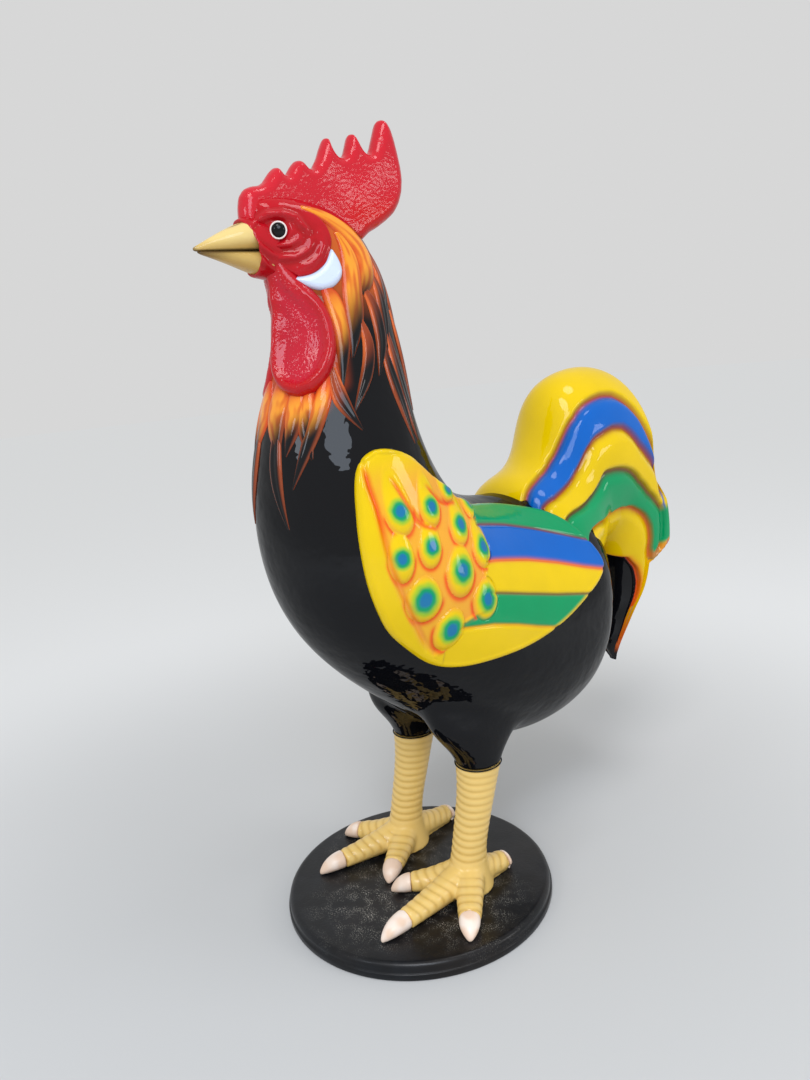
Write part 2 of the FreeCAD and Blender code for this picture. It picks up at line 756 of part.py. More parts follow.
def rounded_outline(points, radii):
    """Lines and tangent arcs round a closed polygon, each corner with its own radius.

    A radius that its two sides can't hold is limited by the shorter side, and a corner without one stays sharp.
    """
    count = len(points)
    ends = []
    geometry = []
    for number in range(count):
        corner = points[number]
        if radii[number] == 0:
            ends.append((corner, corner))
            continue
        back = points[number - 1] - corner
        ahead = points[(number + 1) % count] - corner
        shorter = min(back.Length, ahead.Length)
        back.normalize()
        ahead.normalize()
        half_angle = back.getAngle(ahead) / 2
        reach = min(radii[number] / math.tan(half_angle), 0.45 * shorter)
        radius = reach * math.tan(half_angle)
        middle = (back + ahead).normalize()
        near = corner + middle * (radius / math.sin(half_angle) - radius)
        geometry.append(Part.Arc(corner + back * reach, near, corner + ahead * reach))
        ends.append((corner + back * reach, corner + ahead * reach))
    for number in range(count):
        following = ends[(number + 1) % count][0]
        geometry.append(Part.LineSegment(ends[number][1], following))
    return geometry


# Hardware

def make_ring(name, outer, inner, height, sides=0):
    """Washer, or nut if it has sides, standing on the XY plane."""
    if sides:
        blank = doc.addObject("Part::Prism", name + "_blank")
        blank.Polygon = sides
        bind(blank, Circumradius="(%s) / 2" % outer, Height=height)
    else:
        blank = doc.addObject("Part::Cylinder", name + "_blank")
        bind(blank, Radius="(%s) / 2" % outer, Height=height)
    bore = doc.addObject("Part::Cylinder", name + "_bore")
    bind(bore, Radius="(%s) / 2" % inner, Height=height)
    return boolean("Cut", name, blank, bore)


# Heights of nuts and washers above the disc's top, each an expression on the sheet, with the rod's
# distance behind the disc's centre there
RECESS_TOP = "(Sizes.recess_depth - Sizes.disc_thickness)"
BAR_TOP = "(Sizes.bar_height + Sizes.bar_thickness)"
WASHER_HEIGHTS = (
    (RECESS_TOP + " - Sizes.washer_thickness", "Sizes.ankle_setback"),
    ("Sizes.bar_height - Sizes.washer_thickness", "Sizes.leg_top_setback"),
    (BAR_TOP, "Sizes.leg_top_setback"),
)
NUT_HEIGHTS = (
    (RECESS_TOP + " - Sizes.washer_thickness - Sizes.nut_height", "Sizes.ankle_setback"),
    ("Sizes.bar_height - Sizes.washer_thickness - Sizes.nut_height", "Sizes.leg_top_setback"),
    (BAR_TOP + " + Sizes.washer_thickness", "Sizes.leg_top_setback"),
)


def make_hardware(label, heights, **ring_sizes):
    """Identical nuts or washers at each height on both rods, as one node."""
    pieces = []
    for side, sign in SIDES.items():
        for number, (height, setback) in enumerate(heights):
            piece = make_ring("%s_%s_%d" % (label, side, number), **ring_sizes)
            piece.setExpression(".Placement.Base.x", "%d * Sizes.stance / 2" % sign)
            piece.setExpression(".Placement.Base.y", setback)
            piece.setExpression(".Placement.Base.z", "Sizes.disc_thickness + " + height)
            pieces.append(piece)
    group = doc.addObject("Part::Compound", label + "_group")
    group.Links = pieces
    group.Label = label
    return group


# Legs and claws

def foot_centre(side):
    """Point under the ankle on the disc's top."""
    return Vector(SIDES[side] * size.stance / 2, size.ankle_setback, 0)


def toe_section(foot, tip, place, width, height):
    """Upright oval across a toe, with its foot on the disc."""
    ahead = (tip - foot).normalize()
    across = Vector(-ahead.y, ahead.x, 0)
    middle = foot + (tip - foot) * place
    points = []
    for step in range(10):
        turn = 2 * math.pi * step / 10
        points.append(
            middle + across * (width / 2 * math.sin(turn)) + Vector(0, 0, height / 2 * (1 - math.cos(turn)))
        )
    return closed_curve(points)


def toe_and_claw(side, toe):
    """Toe and claw of one side, cut flat on the disc."""
    foot = foot_centre(side)
    out, back = TOE_TIP_SHARES[side][toe]
    tip = foot + Vector(SIDES[side] * out * size.foot_length, back * size.foot_length, 0)
    claw_start = HIND_CLAW_START_SHARE if toe == "hind" else CLAW_START_SHARE
    sections = [
        toe_section(foot, tip, place, size.toe_width * wide, size.toe_height * high)
        for place, wide, high in TOE_SHARES
    ]
    joint = toe_section(foot, tip, claw_start, size.claw_width, size.claw_height)
    claw_sections = [joint] + [
        toe_section(foot, tip, claw_start + (1 - claw_start) * place, size.claw_width * wide, size.claw_height * high)
        for place, wide, high in CLAW_SHARES[1:]
    ]
    return loft(sections + [joint]), loft(claw_sections)


def shank(side):
    """Shank with its flare on to the disc."""
    wires = []
    radius = size.shank_diameter / 2
    for height, place, across, along in SHANK_SHARES:
        back = size.ankle_setback + (size.leg_top_setback - size.ankle_setback) * place
        centre = Vector(SIDES[side] * size.stance / 2, back, height * size.thigh_end_height)
        if height == 1:
            across = along = size.shank_top_diameter / size.shank_diameter
        wires.append(ellipse_wire(centre, radius * across, radius * along))
    return loft(wires)


def make_leg(side, bore):
    """Leg of one side, bored for its rod, and its claws."""
    toes = []
    claws = {}
    for toe in TOE_TIP_SHARES[side]:
        toe_solid, claws[toe] = toe_and_claw(side, toe)
        toes.append(toe_solid)
    casting = feature("leg_%s_casting" % side, shank(side).fuse(toes))
    leg = boolean("Cut", "leg_%s_bored" % side, casting, bore)
    leg.Label = "leg_" + side
    nodes = [leg]
    for toe, solid in claws.items():
        claw = feature("claw_%s_%s_shape" % (side, toe), solid)
        claw.Label = "claw_%s_%s" % (side, toe)
        nodes.append(claw)
    return nodes


# Tail

TAIL_ROWS = [
    (
        TAIL_SADDLE_SHARE[0] * size.body_length + size.tail_length * row[0],
        TAIL_SADDLE_SHARE[1] * size.body_height + size.tail_height * row[1],
        TAIL_SADDLE_SHARE[0] * size.body_length + size.tail_length * row[2],
        TAIL_SADDLE_SHARE[1] * size.body_height + size.tail_height * row[3],
        size.tail_width / 2 * row[4],
    )
    for row in TAIL_RIB_SHARES
]


TAIL_TABLE = smooth_table(TAIL_ROWS)


def tail_profile(row):
    """Angles and growths of a tail rib: crests of the bands and the valleys between them.

    The bands fade where the rib is narrow.
    """
    rise = size.tail_band_rise * min(1.0, row[4] / (size.tail_width / 4))
    profile = [(angle, rise) for angle in TAIL_CRESTS] + [(angle, 0) for angle in TAIL_VALLEYS]
    return sorted(profile + [(180, 0)])


# Head pieces

def beak_loft(shares, height):
    """Beak half through upright ovals from its root to its tip."""
    root_y = BEAK_ROOT_SHARE[0] * size.body_length
    mouth = BEAK_ROOT_SHARE[1] * size.body_height
    wires = []
    for place, low, high, wide in shares:
        middle = Vector(0, root_y - place * size.beak_length, mouth + height * (low + high) / 2)
        points = []
        for step in range(16):
            turn = 2 * math.pi * step / 16
            half_height = abs(height) * abs(high - low) / 2
            points.append(middle + Vector(
                size.beak_width / 2 * wide * math.sin(turn), 0, half_height * math.cos(turn)))
        wires.append(closed_curve(points))
    return loft(wires)


def head_front(first, last):
    """Front of the head between two places, about as deep as the beak is long."""
    head = body_loft(first, last)
    box = head.BoundBox
    low = Vector(box.XMin - size.overrun, box.YMin - size.overrun, box.ZMin - size.overrun)
    block = Part.makeBox(
        box.XLength + 2 * size.overrun, size.beak_length, box.ZLength + 2 * size.overrun, low)
    return largest(head.common(block))


def make_eye(side, seat):
    """Eye dome and its ring, seated in the face."""
    point, outward = skin_frame(*EYE_PLACE)
    if side == "right":
        point = Vector(-point.x, point.y, point.z)
        outward = Vector(-outward.x, outward.y, outward.z)
    raised = point + outward * (size.face_rise - size.eye_seat_depth) + Vector(0, 0, size.disc_thickness)
    place = Placement(raised, Rotation(Vector(0, 0, 1), outward))
    dome = doc.addObject("Part::Ellipsoid", "eye_%s_dome" % side)
    bind(dome, Radius1="Sizes.eye_bulge", Radius2="Sizes.eye_diameter / 2", Radius3="Sizes.eye_diameter / 2")
    dome.Angle1 = 0
    dome.Placement = place
    hoop = doc.addObject("Part::Torus", "eye_ring_%s_hoop" % side)
    bind(hoop, Radius1="(Sizes.eye_diameter + Sizes.eye_ring_thickness) / 2", Radius2="Sizes.eye_ring_thickness / 2")
    hoop.Placement = place
    eye = boolean("Cut", "eye_%s_cut" % side, dome, seat)
    eye.Label = "eye_" + side
    clear = boolean("Cut", "eye_ring_%s_clear" % side, hoop, dome)
    ring = boolean("Cut", "eye_ring_%s_cut" % side, clear, seat)
    ring.Label = "eye_ring_" + side
    return [eye, ring]


# Build the pieces

nodes = [make_disc(), make_bar()]

for side in SIDES:
    line = feature("rod_%s_line" % side, rod_line(side))
    doc.recompute()
    rod = make_sweep("leg_rod_%s_sweep" % side, line, side, "Sizes.rod_diameter")
    rod.Label = "leg_rod_" + side
    bore = make_sweep("rod_%s_bore" % side, line, side, "Sizes.rod_diameter + 2 * Sizes.rod_clearance")
    nodes.append(rod)
    nodes.extend(make_leg(side, bore))

nodes.append(make_hardware(
    "rod_nuts", NUT_HEIGHTS, outer="Sizes.nut_across_corners", inner="Sizes.rod_diameter",
    height="Sizes.nut_height", sides=6))
nodes.append(make_hardware(
    "rod_washers", WASHER_HEIGHTS, outer="Sizes.washer_diameter",
    inner="Sizes.rod_diameter + 2 * Sizes.rod_clearance", height="Sizes.washer_thickness"))

half_body = half_shell(
    BODY_TABLE, LAST_RIB, size.body_wall, lambda row: [(angle, 0) for angle in even_angles(0, 180, RIB_POINTS // 2)])
half_tail = half_shell(TAIL_TABLE, len(TAIL_ROWS) - 1, size.tail_wall, tail_profile)
rod_hole = Part.makeCylinder(
    size.rod_diameter / 2 + size.rod_clearance,
    size.bar_height - size.thigh_end_height + size.overrun,
    Vector(size.stance / 2, size.leg_top_setback, size.thigh_end_height - size.overrun),
)
pieces = {
    "body_shell": largest(half_body.cut(rod_hole)),
    "thigh": largest(thigh_loft("left").cut([rump, rod_hole])),
    "tail_shell": largest(half_tail.cut(rump)),
    "wing": laid_on(WING_SPANS, EDGED_SHARES, size.wing_rise),
    "face": laid_on(FACE_SPANS, EDGED_SHARES, size.face_rise),
    "ear_lobe": laid_on(EAR_SPANS, EDGED_SHARES, size.ear_rise),
    "wattle": laid_on(WATTLE_SPANS, EDGED_SHARES, size.wattle_rise),
}
locks = {name: laid_on(lock_spans(places), LOCK_RISE_SHARES, size.lock_rise) for name, places in LOCKS.items()}
for side in SIDES:
    labels = {"%s_%s" % (name, side): solid for name, solid in pieces.items()}
    labels.update({"lock_%s_%s" % (side, name): solid for name, solid in locks.items()})
    for label, solid in labels.items():
        piece = feature(label + "_shape", solid if side == "left" else mirrored(solid))
        piece.Label = label
        nodes.append(piece)

for label, middle_angle in (("seam_strip_back", 0), ("seam_strip_belly", 180)):
    strip = feature(label + "_shape", seam_strip(middle_angle))
    strip.Label = label
    nodes.append(strip)

comb = make_comb()
nodes.append(comb)
doc.recompute()
comb_solid = comb.Shape.copy()
comb_solid.translate(Vector(0, 0, -size.disc_thickness))
beak_shape = beak_loft(BEAK_SHARES, size.beak_height)
jaw_shape = beak_loft(JAW_SHARES, -size.jaw_height)
beak_seated = largest(beak_shape.cut(head_front(*BEAK_SEAT_PLACES)))
beak_parts = {
    "beak_upper": largest(beak_seated.cut(comb_solid)),
    "beak_lower": largest(jaw_shape.cut(head_front(*JAW_SEAT_PLACES))),
}
for label, solid in beak_parts.items():
    piece = feature(label + "_shape", solid)
    piece.Label = label
    nodes.append(piece)
for side in SIDES:
    face = next(node for node in nodes if node.Label == "face_" + side)
    nodes.extend(make_eye(side, face))


# Check and write

def check():
    """Stop if an object failed, or a sub-part has no valid solid."""
    doc.recompute()
    for thing in doc.Objects:
        if "Invalid" in thing.State or "Error" in thing.State:
            raise RuntimeError("%s failed: %s" % (thing.Name, thing.State))
    for node in nodes:
        if node.Shape.isNull() or not node.Shape.isValid() or not node.Shape.Solids:
            raise RuntimeError(node.Label + " has no valid solid")


check()
os.makedirs("parts", exist_ok=True)
for node in nodes:
    node.Shape.exportStep(os.path.join("parts", node.Label + ".step"))
    print("%-24s %2d solid(s) %12.0f mm3" % (node.Label, len(node.Shape.Solids), node.Shape.Volume))
print("%d nodes" % len(nodes))
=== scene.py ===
"""Large glossy painted cockerel on a round black disc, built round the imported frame.

Shapes are worked out in millimetres above the disc's top, as tables of ribs and outlines, and turned into
metres when a mesh is made. +X is the bird's left, it faces -Y, and +Z is up.
"""

import logging
import math
from dataclasses import dataclass, field
from enum import Enum
from functools import lru_cache

import bmesh
import bpy
import numpy as np
from mathutils import Matrix, Vector, noise


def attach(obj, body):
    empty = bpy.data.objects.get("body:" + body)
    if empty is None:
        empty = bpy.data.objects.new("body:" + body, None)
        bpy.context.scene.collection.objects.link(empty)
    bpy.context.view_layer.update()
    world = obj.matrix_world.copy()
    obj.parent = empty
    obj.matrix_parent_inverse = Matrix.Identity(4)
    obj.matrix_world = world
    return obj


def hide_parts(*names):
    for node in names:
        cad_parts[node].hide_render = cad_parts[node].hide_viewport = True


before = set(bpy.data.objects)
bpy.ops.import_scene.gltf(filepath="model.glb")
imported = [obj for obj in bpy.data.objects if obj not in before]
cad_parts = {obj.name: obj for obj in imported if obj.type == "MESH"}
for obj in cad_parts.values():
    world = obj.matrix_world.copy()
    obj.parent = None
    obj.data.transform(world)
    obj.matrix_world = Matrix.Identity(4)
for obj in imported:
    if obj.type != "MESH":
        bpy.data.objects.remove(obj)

LOG = logging.getLogger("cockerel")
Socket = bpy.types.NodeSocket
DISC_TOP = 26.0

# Ribs of the body from the rump to the crown: back y, z, front y, z and half width
BODY_RIBS = (
    (394, 508, 400, 450, 40), (382, 556, 396, 372, 98), (348, 592, 372, 287, 136),
    (300, 609, 332, 222, 160), (220, 610, 230, 196, 170), (142, 624, 105, 222, 172),
    (90, 655, -10, 300, 168), (62, 700, -112, 395, 158), (48, 745, -176, 500, 146),
    (43, 785, -197, 610, 130), (42, 825, -189, 712, 111), (41, 865, -165, 795, 91),
    (38, 905, -146, 862, 74), (32, 945, -138, 925, 64), (20, 985, -145, 975, 59),
    (-2, 1022, -158, 1015, 54), (-42, 1050, -165, 1043, 44), (-90, 1064, -165, 1062, 25),
)
STANCE = 172.0
# How far the rims of the larger patches lie under the skin
SUNK = 2.5
FULL_TURN = 2 * np.pi


class Side(Enum):
    """Side of the bird, with the sign of its X."""

    LEFT = 1
    RIGHT = -1

    @property
    def word(self) -> str:
        """Name of the side in node names."""
        return self.name.lower()


# ---------------------------------------------------------------- numbers


def srgb(red: float, green: float, blue: float) -> np.ndarray:
    """Linear colour from 8-bit display values."""
    value = np.array([red, green, blue], float) / 255
    return np.where(value <= 0.04045, value / 12.92, ((value + 0.055) / 1.055) ** 2.4)


def ramp(value: np.ndarray, low: float, high: float) -> np.ndarray:
    """Smooth step from 0 at low to 1 at high; low may be above high."""
    share = np.clip((value - low) / (high - low), 0, 1)
    return share * share * (3 - 2 * share)


def paint_over(base: np.ndarray, colour: np.ndarray, mask: np.ndarray) -> np.ndarray:
    """Colours with another colour laid over them by a mask."""
    return base * (1 - mask[..., None]) + colour * mask[..., None]


def coated(points: np.ndarray, colour: np.ndarray) -> np.ndarray:
    """One colour for every point."""
    return np.broadcast_to(colour, points.shape).copy()


def bell(distance: np.ndarray, width: np.ndarray | float) -> np.ndarray:
    """Soft peak of 1 at no distance, falling off over a width."""
    return np.exp(-(distance / width) ** 2)


def rounded(depth: np.ndarray, width: float) -> np.ndarray:
    """Quarter-round rise from 0 at an edge to 1 at a width from it."""
    return np.sqrt(np.clip(1 - (1 - np.clip(depth / width, 0, 1)) ** 2, 0, 1))


def flattened(wave: np.ndarray, power: float) -> np.ndarray:
    """Sine or cosine raised to a power with its sign kept, which flattens or points a round section."""
    return np.sign(wave) * np.abs(wave) ** power


def turns(count: int) -> np.ndarray:
    """Evenly spaced angles of a full turn, in radians."""
    return np.linspace(0, FULL_TURN, count, endpoint=False)


class Table:
    """Natural cubic spline through rows of numbers, one row at each whole place."""

    def __init__(self, rows: tuple) -> None:
        """Works out the second derivatives.

        Args:
            rows: The rows, all as long.
        """
        self.rows = np.array(rows, float)
        count = len(self.rows)
        matrix = np.eye(count)
        right = np.zeros_like(self.rows)
        for row in range(1, count - 1):
            matrix[row, row - 1:row + 2] = (1, 4, 1)
            right[row] = 6 * (self.rows[row - 1] - 2 * self.rows[row] + self.rows[row + 1])
        self.bend = np.linalg.solve(matrix, right)

    def at(self, place: np.ndarray) -> np.ndarray:
        """Rows at places, the columns along the last axis.

        Args:
            place: Places, counted in rows.

        Returns:
            The rows, with the columns along the last axis.
        """
        place = np.clip(np.asarray(place, float), 0, len(self.rows) - 1)
        low = np.minimum(place.astype(int), len(self.rows) - 2)
        b = (place - low)[..., None]
        a = 1 - b
        return (
            a * self.rows[low] + b * self.rows[low + 1]
            + ((a ** 3 - a) * self.bend[low] + (b ** 3 - b) * self.bend[low + 1]) / 6
        )


class Ribs:
    """Surface through oval ribs in the middle plane, each with its half width."""

    def __init__(self, rows: tuple) -> None:
        """Keeps the ribs' table of back y, z, front y, z and half width."""
        self.table = Table(rows)

    def point(self, rib: np.ndarray, angle: np.ndarray, rise: np.ndarray | float = 0.0) -> np.ndarray:
        """Points at ribs and angles in degrees, with each rib grown by a rise.

        Args:
            rib: Places along the ribs.
            angle: Angles round them, in degrees.
            rise: How far each rib is grown.

        Returns:
            The points.
        """
        row = self.table.at(rib)
        turn = np.radians(angle)
        middle = (row[..., 0:2] + row[..., 2:4]) / 2
        arm = (row[..., 0:2] - row[..., 2:4]) / 2
        reach = np.linalg.norm(arm, axis=-1)
        share = (reach + rise) / reach * np.cos(turn)
        side = (row[..., 4] + rise) * np.sin(turn)
        return np.stack([side, middle[..., 0] + arm[..., 0] * share, middle[..., 1] + arm[..., 1] * share], -1)

    def outward(self, rib: np.ndarray, angle: np.ndarray) -> np.ndarray:
        """Outward directions on the surface.

        Args:
            rib: Places along the ribs.
            angle: Angles round them, in degrees.

        Returns:
            Unit vectors.
        """
        step = 0.02
        along = self.point(rib + step, angle) - self.point(rib - step, angle)
        beside = self.point(rib, angle + 0.5) - self.point(rib, angle - 0.5)
        normal = np.cross(along, beside)
        normal /= np.maximum(np.linalg.norm(normal, axis=-1, keepdims=True), 1e-9)
        row = self.table.at(rib)
        middle = (row[..., 0:2] + row[..., 2:4]) / 2
        centre = np.concatenate([np.zeros_like(middle[..., :1]), middle], -1)
        facing = np.sum(normal * (self.point(rib, angle) - centre), -1)
        return normal * np.where(facing < 0, -1.0, 1.0)[..., None]


BODY = Ribs(BODY_RIBS)


def to_path(y: np.ndarray, z: np.ndarray, path: tuple | np.ndarray) -> tuple[np.ndarray, np.ndarray]:
    """Distance to an open line of points, and the share along it.

    Args:
        y: First coordinates.
        z: Second coordinates.
        path: Points of the line.

    Returns:
        The distances, and the shares of the line's length at the nearest points.
    """
    path = np.array(path, float)
    lengths = np.linalg.norm(np.diff(path, axis=0), axis=1)
    before = np.concatenate([[0], np.cumsum(lengths)]) / lengths.sum()
    best = np.full(y.shape, 1e9)
    share = np.zeros(y.shape)
    for number in range(len(path) - 1):
        (py, pz), (qy, qz) = path[number], path[number + 1]
        dy, dz = qy - py, qz - pz
        t = np.clip(((y - py) * dy + (z - pz) * dz) / (dy * dy + dz * dz + 1e-12), 0, 1)
        distance = np.hypot(y - py - t * dy, z - pz - t * dz)
        closer = distance < best
        best = np.where(closer, distance, best)
        share = np.where(closer, before[number] + t * (before[number + 1] - before[number]), share)
    return best, share


def inside(y: np.ndarray, z: np.ndarray, outline: tuple | list) -> np.ndarray:
    """Whether points lie in a closed outline.

    Args:
        y: First coordinates.
        z: Second coordinates.
        outline: The outline's y, z.

    Returns:
        True for the points inside.
    """
    found = np.zeros(y.shape, bool)
    points = list(outline)
    for (py, pz), (qy, qz) in zip(points, points[1:] + points[:1]):
        crosses = (pz > z) != (qz > z)
        edge = (qy - py) * (z - pz) / (qz - pz + 1e-12) + py
        found ^= crosses & (y < edge)
    return found


def signed(y: np.ndarray, z: np.ndarray, outline: tuple | list) -> np.ndarray:
    """Distance to a closed outline, negative inside it."""
    distance, _ = to_path(y, z, list(outline) + [outline[0]])
    return np.where(inside(y, z, outline), -distance, distance)


def above(y: np.ndarray, z: np.ndarray, line: tuple) -> np.ndarray:
    """Height over a line of points with rising y, held level past its ends."""
    line = np.array(line, float)
    return z - np.interp(y, line[:, 0], line[:, 1])


def grain(points: np.ndarray, pitch: float, seed: float = 0.0) -> np.ndarray:
    """Smooth noise from -1 to 1 at points, with lumps about as wide as a pitch.

    Args:
        points: Where it is wanted.
        pitch: Width of a lump.
        seed: Shift that gives another pattern.

    Returns:
        The noise.
    """
    flat = points.reshape(-1, 3) / pitch
    values = [noise.noise(Vector((x + seed, y, z))) for x, y, z in flat]
    return np.array(values).reshape(points.shape[:-1])


def pebbles(points: np.ndarray, pitch: float) -> np.ndarray:
    """Height of hammered pebbles from 0 to 1 at points.

    Args:
        points: Where it is wanted.
        pitch: Width of a pebble.

    Returns:
        The heights.
    """
    flat = points.reshape(-1, 3) / pitch
    values = []
    for x, y, z in flat:
        near, _ = noise.voronoi(Vector((x, y, z)))
        values.append(min(1.0, (near[1] - near[0]) * 1.6))
    return np.array(values).reshape(points.shape[:-1])


# ---------------------------------------------------------------- finishes


@dataclass(frozen=True)
class Wiring:
    """Nodes of a material or world, each added with its settings and links."""

    tree: bpy.types.NodeTree

    def fill(self, node: bpy.types.Node, inputs: dict) -> None:
        """Sets a node's inputs, or links them to sockets.

        Args:
            node: The node.
            inputs: Value or socket for each input, by its name or number.
        """
        for word, value in inputs.items():
            if isinstance(value, Socket):
                self.tree.links.new(value, node.inputs[word])
            else:
                node.inputs[word].default_value = value

    def add(self, kind: str, inputs: dict, **settings: str) -> bpy.types.Node:
        """Adds a node.

        Args:
            kind: Its type, without ShaderNode.
            inputs: Value or socket for each input, by its name or number.
            **settings: Its other properties.

        Returns:
            The node.
        """
        node = self.tree.nodes.new("ShaderNode" + kind)
        for word, value in settings.items():
            setattr(node, word, value)
        self.fill(node, inputs)
        return node

    def place(self) -> Socket:
        """Place on the object, in metres."""
        return self.add("TexCoord", {}).outputs["Object"]

    def cloud(self, scale: float, detail: float) -> Socket:
        """Noise over the object."""
        return self.add("TexNoise", {"Scale": scale, "Detail": detail, "Vector": self.place()}).outputs["Fac"]

    def sums(self, kind: str, first: Socket, second: Socket | float) -> Socket:
        """Result of arithmetic with two values."""
        return self.add("Math", {0: first, 1: second}, operation=kind).outputs[0]

    def spread(self, value: Socket, low: float, high: float, start: float = 0.0, end: float = 1.0) -> Socket:
        """Maps a value from the span of low to high onto that of start to end."""
        span = {"Value": value, "From Min": low, "From Max": high, "To Min": start, "To Max": end}
        return self.add("MapRange", span).outputs["Result"]

    def blend(self, factor: Socket, under: Socket | tuple, over: np.ndarray) -> Socket:
        """Lays a colour over another.

        Args:
            factor: Share of the upper colour.
            under: The lower colour.
            over: The upper colour.

        Returns:
            The mixed colour.
        """
        node = self.add("Mix", {}, data_type="RGBA")
        below, above_ = (number for number, socket in enumerate(node.inputs) if socket.type == "RGBA")
        self.fill(node, {"Factor": factor, below: under, above_: (*over, 1)})
        return next(socket for socket in node.outputs if socket.type == "RGBA")


@dataclass(frozen=True)
class Finish:
    """Lacquered, painted or metal surface with fine marks.

    Attributes:
        name: Name of the finish.
        colour: Linear colour, or none where the mesh carries its own paint.
        roughness: Roughness of the paint under the lacquer.
        metallic: Share of metal.
        coat: Weight of the clear coat.
        shine: Specular level of the paint under it.
        mottle: Strength of the slow change of tone.
        pits: Depth of the fine surface marks, in metres.
        pitch: Marks to the metre.
    """

    name: str
    colour: tuple | None = None
    roughness: float = 0.32
    metallic: float = 0.0
    coat: float = 0.55
    shine: float = 0.03
    mottle: float = 0.06
    pits: float = 0.00012
    pitch: float = 60.0

    def material(self) -> bpy.types.Material:
        """Node material of the finish, made once.

        Returns:
            The material.
        """
        known = bpy.data.materials.get(self.name)
        if known:
            return known
        made = bpy.data.materials.new(self.name)
        made.use_nodes = True
        wires = Wiring(made.node_tree)
        mottling = wires.spread(wires.cloud(9.0, 3.0), 0.3, 0.7, 1.0 - self.mottle, 1.0 + self.mottle)
        if self.colour is None:
            coats = wires.add("Attribute", {}, attribute_name="paint").outputs["Color"]
        else:
            flat = wires.add("RGB", {})
            flat.outputs[0].default_value = (*self.colour, 1)
            coats = flat.outputs[0]
        tone = wires.add("VectorMath", {0: coats, "Scale": mottling}, operation="SCALE").outputs["Vector"]
        marks = wires.cloud(self.pitch, 4.0)
        bump = wires.add("Bump", {"Distance": self.pits, "Strength": 0.6, "Height": marks}).outputs["Normal"]
        shader = made.node_tree.nodes["Principled BSDF"]
        wires.fill(shader, {"Base Color": tone, "Normal": bump, "Coat Normal": bump})
        shader.inputs["Roughness"].default_value = self.roughness
        shader.inputs["Metallic"].default_value = self.metallic
        shader.inputs["Coat Weight"].default_value = self.coat
        shader.inputs["Coat Roughness"].default_value = COAT_ROUGHNESS
        shader.inputs["Specular IOR Level"].default_value = self.shine
        return made


COAT_ROUGHNESS = 0.03
BLACK = srgb(7, 8, 12)
YELLOW = srgb(231, 194, 0)
ORANGE = srgb(238, 142, 62)
FLAME = srgb(232, 72, 18)
RED = srgb(184, 16, 30)
DEEP_RED = srgb(178, 6, 10)
BLUE = srgb(0, 96, 188)
GREEN = srgb(0, 150, 92)
HALO = srgb(150, 190, 46)
WHITE = srgb(212, 224, 244)
RUST = srgb(206, 96, 34)
COMB_RED = srgb(200, 22, 40)
LEG_CREAM = srgb(238, 200, 116)
MOUTH_BROWN = srgb(84, 62, 34)
THROAT_ORANGE = srgb(196, 74, 28)
EYE_BLUE = srgb(20, 112, 160)
LOBE_SHADE = srgb(176, 196, 226)
WATTLE_RED = srgb(188, 22, 44)
EYE_BLACK = srgb(8, 9, 12)
EYE_WHITE = srgb(238, 226, 220)
LOCK_CORE = srgb(150, 62, 30)
LOCK_RIM = srgb(226, 112, 58)
LOCK_RED = srgb(206, 44, 26)
LOCK_ROOT = srgb(240, 150, 40)
LOCK_GOLD = srgb(244, 156, 48)
LOCK_STREAK = srgb(206, 84, 30)
LOCK_EDGE = srgb(206, 66, 30)
LOCK_TIP = srgb(206, 96, 50)
COMB_ROOT = srgb(196, 6, 10)
BEAK_CREAM = srgb(226, 198, 128)
BEAK_SHADE = srgb(196, 160, 84)
BEAK_LOWER = srgb(198, 164, 92)
# Painted shade for the top of the lower half of the beak, under the upper half
LOWER_BILL_SHADE = srgb(112, 86, 46)
BEAK_TIP = srgb(80, 60, 36)
NOSTRIL = srgb(104, 74, 36)
TAIL_AMBER = srgb(240, 118, 20)
TAIL_STEP = srgb(216, 110, 40)
TAIL_FLAME = srgb(226, 84, 14)
SCALE_SHADE = srgb(196, 156, 76)
SCALE_LIGHT = srgb(236, 210, 146)
CLAW_TAN = srgb(238, 208, 184)
CLAW_PALE = srgb(250, 232, 218)

LACQUER = Finish("colour_gloss", pits=0.0035, pitch=12.0)
BLACK_LACQUER = Finish("black_gloss", roughness=0.3, coat=0.52, shine=0.0, pits=0.012, pitch=9.0)
LEG_LACQUER = Finish("leg_gloss", roughness=0.4, coat=0.45, shine=0.2, mottle=0.05, pitch=90.0)
COMB_GLOSS = Finish("comb_gloss", coat=0.7, pits=0.0006, pitch=230.0)
BEAK_GLOSS = Finish("beak_gloss", roughness=0.38, coat=0.5, pits=0.0002, pitch=70.0)
CLAW_GLOSS = Finish("claw_gloss", roughness=0.4, coat=0.4, pits=0.0001, pitch=120.0)
STEEL = Finish(
    "bright_steel", (0.5, 0.5, 0.52), roughness=0.35, metallic=1.0, coat=0.0, shine=0.5, mottle=0.1, pitch=400.0)
GLASS_FIBRE = Finish(
    "fibre_strip", (0.55, 0.5, 0.33), roughness=0.6, coat=0.1, mottle=0.2, pits=0.0006, pitch=150.0)


# ---------------------------------------------------------------- meshes


